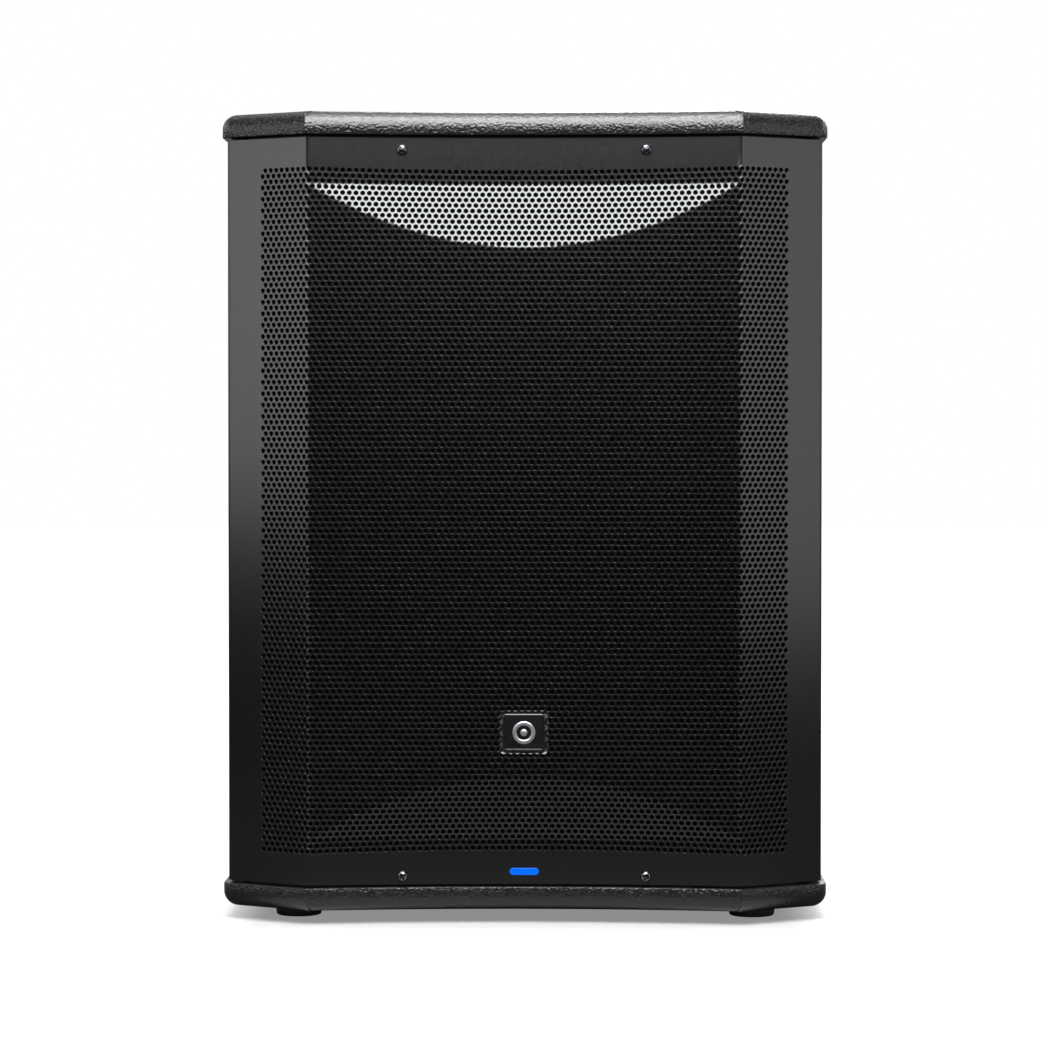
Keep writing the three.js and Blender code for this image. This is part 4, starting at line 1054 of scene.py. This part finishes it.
def driver_shell(profile, sides=AROUND):
    """A closed profile of (radius, depth behind the baffle's face) turned about the driver's axis."""
    return Build().turned(profile, (0, BAFFLE_Y, DRIVER_Z), "Y", sides, closed=True)


def cone_depth(radius):
    return -5 + (CONE_OUTER - radius) / (CONE_OUTER - CONE_INNER) * 63


def add_moving_cone():
    span = CONE_OUTER - CONE_INNER
    front = [(r, cone_depth(r) + 2.0 * math.sin(math.pi * (CONE_OUTER - r) / span) ** 2)
             for r in np.linspace(CONE_OUTER, CONE_INNER, 22)]
    back = [(r, d + 1.6) for r, d in reversed(front)]
    ribbed = [(r, d - 0.5 * math.exp(-((r % 18) - 9) ** 2 / 3)) for r, d in front]
    build = driver_shell(ribbed + [(39.2, 57.4), (39.2, 59.6)] + back)
    finish_object("cone_paper", build.mesh("cone"), FIBRE, "moving_cone", ("cone",))
    rim = cone_depth(58) + 1.0
    arc = [math.pi / 2 * k / 14 for k in range(15)]
    outer = [(58 * math.cos(a), rim - 22 * math.sin(a)) for a in arc]
    inner = [(56.6 * math.cos(a), rim + 0.4 - 20.8 * math.sin(a)) for a in reversed(arc)]
    build = driver_shell([(60.5, rim + 0.4), (60.5, rim - 0.6)] + outer + inner)
    finish_object("dust_cap_paper", build.mesh("dust_cap"), FIBRE, "moving_cone", ("dust_cap",))
    coil = [(37.5, 59.8), (38.0, 59.8), (38.0, 88)]
    for k in range(26):
        coil += [(38.0, 88 + k), (38.45, 88.25 + k), (38.45, 88.75 + k)]
    build = driver_shell(coil + [(38.0, 114), (37.5, 114)], sides=72)
    finish_object("voice_coil_winding", build.mesh("coil"), COPPER, "moving_cone", ("voice_coil",))


def add_flexing_ring(name, profile, material, sectors=16, steps=6):
    """A ring between basket and cone, made of sectors, each a piece of its own."""
    for n in range(sectors):
        rings = []
        for angle in (2 * math.pi * (n + k / steps) / sectors for k in range(steps + 1)):
            rings.append([(r * math.sin(angle), BAFFLE_Y + d, DRIVER_Z + r * math.cos(angle)) for r, d in profile])
        mesh = Build().loft(rings).mesh(name)
        piece = finish_object(f"{name}_{n + 1:02d}", mesh, material, None, (name,), sharp=50)
        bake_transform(piece)


def add_suspension():
    roll = [math.pi * k / 12 for k in range(13)]
    front = [(161.75 - 8.75 * math.cos(a), -6.7 - 11 * math.sin(a)) for a in roll]
    back = [(161.75 - 7.45 * math.cos(a), -5.4 - 9.7 * math.sin(a)) for a in reversed(roll)]
    add_flexing_ring("surround", [(146, -6.7)] + front + [(177, -6.7), (177, -5.4)] + back + [(146, -5.4)],
                     SURROUND_RUBBER)
    waves = [(r, 72 + 1.9 * math.sin((r - 42) / 56 * 5 * 2 * math.pi)) for r in np.linspace(42, 98, 41)]
    add_flexing_ring("spider", [(r, d - 0.8) for r, d in waves] + waves[::-1], SPIDER_CLOTH)


def add_motor():
    pieces = {
        "gasket": ([(178, -5.3), (178, -7.6), (178.5, -8), (192.5, -8), (193, -7.6), (193, -5.3)], SURROUND_RUBBER,
                   "gasket_rubber"),
        "driver_top_plate": ([(40.4, 109.3), (40.4, 101.8), (40.9, 101.3), (84, 101.3), (85, 102.3), (85, 109.3)],
                             MOTOR_STEEL, "motor_steel"),
        "magnet": ([(46, 129.6), (46, 109.6), (98.5, 109.6), (100, 111.1), (100, 128.1), (98.5, 129.6)], FERRITE,
                   "ferrite"),
        "back_plate": ([(84, 129.9), (85, 130.9), (85, 138.4), (83.5, 139.9), (18, 139.9), (14, 136), (14, 101.3),
                        (35.6, 101.3), (36.3, 102), (36.3, 129.9)], MOTOR_STEEL, "motor_steel"),
    }
    for name, (profile, material, slot) in pieces.items():
        finish_object(f"{name}_turned", driver_shell(profile).mesh(name), material, replaces=(name,))
    bolts, circle_radius = Build(), 185.5
    for k in range(8):
        angle = math.pi / 4 * (k + 0.5)
        x, z = circle_radius * math.sin(angle), DRIVER_Z + circle_radius * math.cos(angle)
        bolts.screw(x, BAFFLE_Y - 8, z, 4.6, 2.8, spin=k * 0.8)
    finish_object("driver_bolts", bolts.mesh("driver_bolts"), BLACK_OXIDE, sharp=40)


def add_ports():
    arc = [math.pi / 2 * k / 10 for k in range(11)]
    mouth = [(50 + 9 * (1 - math.cos(a)), BAFFLE_Y + 20 - 25 * math.sin(a)) for a in arc]
    for name in ("port_tube_left", "port_tube_right"):
        low, high, x, z = node_place(name)
        tail = [(54.5 - 4.5 * math.cos(a), high.y - 8 + 8 * math.sin(a)) for a in arc[:8]]
        build = Build()
        build.turned([(60, low.y + 0.8), (60, BAFFLE_Y - 0.3), (53, BAFFLE_Y - 0.3), (53, high.y - 1),
                      (52.6, high.y - 0.2)] + tail[::-1] + mouth + [(59.4, low.y)], (x, 0, z), "Y", AROUND, closed=True)
        finish_object(f"{name}_flared", build.mesh(name), SOCKET_PLASTIC, replaces=(name,))


# ---------- The rear panel ----------
PLATE_FACE = node_box("amp_plate")[1].y


def add_plate_screws():
    build = Build()
    low, high = node_box("amp_plate")
    columns, rows = (low.x + 8, high.x - 8), [low.z + 8 + k * (high.z - low.z - 16) / 4 for k in range(5)]
    places = [(x, z) for x in columns for z in rows] + [(0, rows[0]), (0, rows[-1])]
    for k, (x, z) in enumerate(places):
        build.screw(x, PLATE_FACE, z, 3.6, 2.2, out=1, spin=0.9 * k)
    finish_object("amp_plate_screws", build.mesh("screws"), BLACK_OXIDE, sharp=40)


def add_panel_print():
    """Plain marks in ink: a scale round each level knob, and frames round the groups of controls."""
    ink = Build()
    y0, y1 = PLATE_FACE - 0.02, PLATE_FACE + 0.07
    near, far, long_far, half = 10.2, 11.6, 12.6, 0.35
    for name in ("level_knob_a", "level_knob_b"):
        place = Vector(node_place(name)[2:])
        for k in range(11):
            angle = math.radians(-150 + 30 * k)
            out, side = Vector((math.sin(angle), math.cos(angle))), Vector((math.cos(angle), -math.sin(angle)))
            end = far if k % 5 else long_far
            corners = [place + out * r + side * w for r, w in ((near, -half), (near, half), (end, half), (end, -half))]
            ink.prism([tuple(c) for c in corners], [], y0, y1)
    radius, line = 4, 0.7
    for x, z, width, height in (
        (60, 422, 96, 44), (88, 358, 40, 44), (-60, 422, 96, 44), (-88, 358, 40, 44),
        (-2, 492, 196, 54), (60, 158, 66, 54), (-60, 158, 44, 54),
    ):
        inner = rect_loop(x, z, width - 2 * line, height - 2 * line, radius - line)
        ink.prism(rect_loop(x, z, width, height, radius), [inner], y0, y1)
    finish_object("amp_plate_print", ink.mesh("print"), WHITE_INK, sharp=30)


def add_flange_screws(build, x, front, z):
    for dx, dz in ((10, -12.5), (-10, 12.5)):
        build.screw(x + dx, front, z + dz, 1.9, 0.9, out=1, number=3, sides=20, rings=7)


def add_input_jack(name, latch):
    _, high, x, z = node_place(name)
    front = high.y
    build = Build()
    build.prism(rect_loop(x, z, 26, 31, 3), [circle_loop(x, z, 9.4, 32), rect_loop(x, z + 12.6, 8.4, 3.4, 0.4, 2)],
                front - 1.6, front)
    build.turned([(9.4, -1.6), (9.4, -28), (0, -28), (0, -29.5), (11.4, -29.5), (11.4, -1.6)], (x, front, z), sides=40,
                 closed=True)
    pins = [(x, z - 5.6), (x - 5.6, z + 2.4), (x + 5.6, z + 2.4)]
    holes = [circle_loop(x, z, 3.5)] + [circle_loop(*pin, 1.5, 14) for pin in pins]
    build.prism(circle_loop(x, z, 7.9, 40), holes, front - 14, front - 0.8)
    build.turned([(3.5, -0.85), (3.5, -0.2), (4.4, -0.2), (4.9, -0.85)], (x, front, z), sides=32, closed=True, number=1)
    for pin_x, pin_z in pins:
        build.turned([(0, -14), (1.3, -14), (1.3, -5), (0, -5)], (pin_x, front, pin_z), sides=14, number=2)
    add_flange_screws(build, x, front, z)
    finish_object(f"{name}_shell", build.mesh(name), [SOCKET_PLASTIC, NICKEL, GOLD_PIN, BLACK_OXIDE], replaces=(name,))
    low, high = node_box(latch)
    tab = Build()
    tab.box((low.x, low.y, low.z), (high.x, high.y - 0.6, high.z), 0.3)
    for rib in (low.z + 0.15 + 0.75 * k for k in range(3)):
        tab.box((low.x + 1.4, high.y - 0.8, rib), (high.x - 1.4, high.y, rib + 0.45), 0.15)
    finish_object(f"{latch}_tab", tab.mesh(latch), NICKEL, latch, (latch,))


def add_output_jack(name):
    _, high, x, z = node_place(name)
    front = high.y
    build = Build()
    build.prism(rect_loop(x, z, 26, 31, 3), [circle_loop(x, z, 9.6, 40)], front - 1.6, front, 1)
    build.turned([(9.6, -1.65), (9.6, 0), (10.6, 0), (10.6, -23.6), (0, -23.6), (0, -17), (9.6, -17)], (x, front, z),
                 closed=True)
    build.turned([(0, -16.8), (9.4, -16.8), (9.4, -15.6), (0, -15.6)], (x, front, z), sides=40, number=1)
    for dx, dz in ((0, -3.9), (-3.9, 2.2), (3.9, 2.2)):
        build.turned([(0, -16), (1.2, -16), (1.2, -9), (0.9, -8.3), (0, -8)], (x + dx, front, z + dz), sides=18,
                     number=2)
    build.box((x - 1.4, front - 16, z - 9.7), (x + 1.4, front - 1, z - 8.2), 0.2, 1)
    add_flange_screws(build, x, front, z)
    finish_object(f"{name}_shell", build.mesh(name), [NICKEL, SOCKET_PLASTIC, GOLD_PIN, BLACK_OXIDE], replaces=(name,))


def add_level_knob(name):
    low, high, x, z = node_place(name)
    base, top = PLATE_FACE + 1.2, PLATE_FACE + 13.2
    build = Build()
    build.turned([
        (0, base), (6.9, base), (7.5, base + 0.7, 0), (7.45, base + 2.2, 1), (6.9, top - 1.3, 1),
        (6.5, top - 0.5, 0.6), (5.6, top, 0), (0, top - 0.35)], (x, 0, z), sides=144, flutes=18, depth=0.55)
    build.turned([(0, low.y), (3, low.y), (3, base + 1), (0, base + 1)], (x, 0, z), sides=24, number=1)
    build.box((x - 0.55, top - 0.5, z + 1.2), (x + 0.55, high.y, z + 5.4), 0.15, 2)
    finish_object(f"{name}_cap", build.mesh(name), [SOFT_TOUCH, NICKEL, WHITE_INK], name, (name,),
                  30)


def add_encoder():
    low, high, x, z = node_place("menu_encoder_knob")
    base, top = low.y, high.y
    build = Build()
    build.turned([
        (3.3, base + 8), (3.3, base), (10.4, base), (11, base + 0.8, 0), (10.9, base + 2.4, 1), (10.5, top - 1.6, 1),
        (10.1, top - 0.7, 0.6), (9.2, top, 0), (8.2, top - 0.2, 0), (7.6, top - 0.7, 0), (0, top - 1.0, 0)],
        (x, 0, z), sides=192, flutes=32, depth=0.45)
    build.turned([(1.0, -0.9), (1.3, -0.55), (1.6, -0.45), (1.9, -0.6), (2.0, -1.0)], (x, top, z + 5.2), sides=24,
                 closed=True, number=1)
    finish_object("menu_encoder_knob_cap", build.mesh("encoder"), [SOFT_TOUCH, NICKEL], "encoder_knob",
                  ("menu_encoder_knob",), 30)
    low, high = node_box("menu_encoder_shaft")
    build = Build()
    build.turned([(0, low.y), (3, low.y), (3, high.y - 0.5), (2.5, high.y), (0, high.y)], (x, 0, z), sides=32)
    finish_object("menu_encoder_shaft_turned", build.mesh("shaft"), NICKEL, "encoder_shaft", ("menu_encoder_shaft",))


def add_button(name):
    low, high, x, z = node_place(name)
    build = Build()
    build.turned([
        (0, low.y), (2, low.y), (2, high.y - 6.2), (4.4, high.y - 6.2), (4.4, high.y - 0.9), (4.1, high.y - 0.25),
        (3.5, high.y), (2.6, high.y - 0.1), (0, high.y - 0.45)], (x, 0, z), sides=40)
    finish_object(f"{name}_cap", build.mesh(name), SOFT_TOUCH, name, (name,), 30)
    ring = Build().turned([(5.1, 0), (5.1, 0.5), (5.5, 0.8), (6.2, 0.8), (6.6, 0.4), (6.6, 0)], (x, PLATE_FACE, z),
                          closed=True)
    finish_object(f"{name}_collar", ring.mesh(name), SATIN_METAL)


def add_display():
    """The glass with two bars of segments and a filter's curve, right way up from behind, and its bezel."""
    low, high, x, z = node_place("display_window")
    width, height = high.x - low.x, high.z - low.z
    glass = Build()
    glass.plate((width, height), 2, (x, z), [(low.y, 0.3), (low.y + 0.3, 0), (high.y - 0.3, 0), (high.y, 0.3)], steps=5)
    under, over = high.y - 0.03, high.y + 0.08
    for bar, count in ((z + 8, 14), (z + 2, 11)):
        for left in (x + 21.7 - 3 * n for n in range(count)):
            glass.box((left, under, bar), (left + 2.3, over, bar + 3.4), 0.04, 1)
    curve = [(u * 48 - 24, 6 / (1 + math.exp((u - 0.62) * 14)) - 13) for u in (k / 30 for k in range(31))]
    outline = [(x - a, z + b + 0.5) for a, b in curve] + [(x - a, z + b - 0.5) for a, b in reversed(curve)]
    glass.prism(outline, [], under, over, 1)
    finish_object("display_window_glass", glass.mesh("display"), [SCREEN_GLASS, SCREEN_MARK],
                  replaces=("display_window",), sharp=40)
    bezel = Build().plate((width + 5, height + 5), 3.4, (x, z), [(PLATE_FACE + y, edge) for y, edge in (
        (0, 0), (0.6, 0.1), (0.9, 0.5), (0.9, 1.7), (0.5, 2.2), (-1.2, 2.4), (-1.2, 2.2), (0, 2.1))],
        steps=5, closed=True)
    finish_object("display_bezel", bezel.mesh("bezel"), SATIN_METAL, sharp=30)


def add_inlet():
    _, high, x, z = node_place("power_inlet")
    face = high.y
    well, drawer = (x, z + 6.5), (x, z - 11)
    build = Build()
    build.prism(rect_loop(x, z, 50, 42, 3), [rect_loop(*well, 24.6, 16.6, 2), rect_loop(*drawer, 28.8, 9.2, 0.6, 2)],
                face - 1.8, face)
    build.plate((24.6, 16.6), 2, well, [(face - y, edge) for y, edge in (
        (0.6, 0), (16, 0.3), (16.8, 0.6), (18, -1.2), (1.7, -1.2), (1.0, -0.4))], closed=True)
    build.box((x - 12.6, face - 18.5, well[1] - 8.6), (x + 12.6, face - 16.9, well[1] + 8.6))
    for pin_x, pin_z in ((x, well[1] + 2.8), (x - 7, well[1] - 1.8), (x + 7, well[1] - 1.8)):
        build.box((pin_x - 1, face - 17.5, pin_z - 2), (pin_x + 1, face - 6, pin_z + 2), 0.35, 1)
    build.plate((28.8, 9.2), 0.6, drawer, [(face - y, edge) for y, edge in (
        (1.7, 0), (21, 0), (21.6, 0), (21.6, -0.8), (1.7, -0.8))], closed=True)
    for dx in (-21.5, 21.5):
        build.screw(x + dx, face, z, 2.6, 1.3, out=1, number=2, sides=24)
    finish_object("power_inlet_body", build.mesh("inlet"), [SOCKET_PLASTIC, NICKEL, BLACK_OXIDE],
                  replaces=("power_inlet",))
    low, high = node_box("fuse_drawer")
    tray = Build()
    tray.box((low.x, low.y, low.z), (high.x, high.y - 1.4, high.z), 0.3)
    for rib in (low.z + 1.3, low.z + 4.3):
        tray.box((x - 6, high.y - 1.8, rib), (x + 6, high.y, rib + 1.3), 0.35)
    finish_object("fuse_drawer_tray", tray.mesh("fuse_drawer"), SOFT_TOUCH, "fuse_drawer", ("fuse_drawer",))


def add_rocker():
    """The rocker, tipped as it is stored, with a bar and a ring for on and off, and its frame."""
    low, high, x, _ = node_place("power_rocker")
    z, half_width, half, tip = 158, (high.x - low.x) / 2, 12.7, math.radians(8)
    turn = Matrix.Rotation(tip, 3, "X")
    pivot = Vector((x, PLATE_FACE, z))
    outline = [(-7, -half * 0.8), (1.6, -half + 0.1), (2.3, -half + 0.3), (2.6, -half + 1.1)]
    outline += [(2.6 - 1.2 * math.cos(t * math.pi / 2), t * (half - 1.1)) for t in np.linspace(-1, 1, 13)[1:-1]]
    outline += [(2.6, half - 1.1), (2.3, half - 0.3), (1.6, half - 0.1), (-7, half * 0.8)]
    soft = 1 - 0.6 / half
    rings = []
    for along, scale in ((-half_width, soft), (0.5 - half_width, 1), (half_width - 0.5, 1), (half_width, soft)):
        rings.append([pivot + turn @ Vector((along, y * (scale if y > 0 else 1), h * scale)) for y, h in outline])
    build = Build().loft(rings)
    bar = Build().box((-0.5, 0, 4.6), (0.5, 0.5, 9.4), 0.1)
    ring = Build().turned([(1.7, 0), (1.7, 0.5), (2.5, 0.5), (2.5, 0)], (0, 0, -7.2), sides=28, closed=True)
    for mark, lean in ((bar, 6.5), (ring, -6.5)):
        build.fit(mark, pivot + turn @ Vector((0, 1.22, 0)), turn @ Matrix.Rotation(math.radians(lean), 3, "X"), 1)
    finish_object("power_rocker_cap", build.mesh("rocker"), [SOFT_TOUCH, WHITE_INK], "power_rocker", ("power_rocker",))
    bezel = Build().plate((25.6, 33.6), 2.2, (x, z), [(PLATE_FACE + y, edge) for y, edge in (
        (0, 0), (1.2, 0.1), (1.7, 0.7), (1.7, 2.0), (1.2, 2.5), (-6, 2.6), (-6, 2.4), (0, 2.3))], closed=True)
    finish_object("power_rocker_frame", bezel.mesh("bezel"), SOCKET_PLASTIC, sharp=30)


add_grille_screws()
add_led()
add_badge()
add_feet()
add_pole_cup()
add_handles()
add_moving_cone()
add_suspension()
add_motor()
add_ports()
add_plate_screws()
add_panel_print()
for channel in ("a", "b"):
    add_input_jack(f"input_jack_{channel}", f"input_latch_{channel}")
    add_output_jack(f"output_jack_{channel}")
add_level_knob("level_knob_a")
add_level_knob("level_knob_b")
add_encoder()
add_button("select_button")
add_button("back_button")
add_display()
add_inlet()
add_rocker()


# ---------- CAD nodes that stay ----------
# The grille rails' near-black wood is painted shade in the gap round the grille
NODE_FINISH = {
    "left_side_panel": (PAINT, 1.2), "right_side_panel": (PAINT, 1.2), "front_baffle": (PAINT, 0.8),
    "back_panel": (PAINT, 0.8), "window_brace": (PLY, 0.8), "grille_rail_top": (SHADE_DARK_WOOD, 0.5),
    "grille_rail_bottom": (SHADE_DARK_WOOD, 0.5), "grille_foam": (FOAM, 0), "basket": (SATIN_METAL, 0.6),
    "amp_plate": (PANEL_COAT, 0.3), "heatsink": (ANODISED, 0.35), "amp_tub": (ALUMINIUM, 0.4),
    "amp_board": (BOARD_GREEN, 0.2), "power_supply": (BOARD_GREEN, 0.2), "speaker_lead": (LEAD_JACKET, 0),
}


def finish_cad_nodes():
    """Materials for the CAD nodes that stay, and softened edges where the real piece has them."""
    for name, (material, edge) in NODE_FINISH.items():
        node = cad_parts[name]
        for number in range(len(node.data.materials)):
            node.data.materials[number] = material
        if edge:
            node.modifiers.new("joined_faces", "WELD").merge_threshold = 0.01 * MM
            bevel = node.modifiers.new("soft_edges", "BEVEL")
            bevel.width = edge * MM
            bevel.segments = 2
            bevel.limit_method = "ANGLE"
            bevel.angle_limit = math.radians(40)
            bevel.use_clamp_overlap = True


finish_cad_nodes()
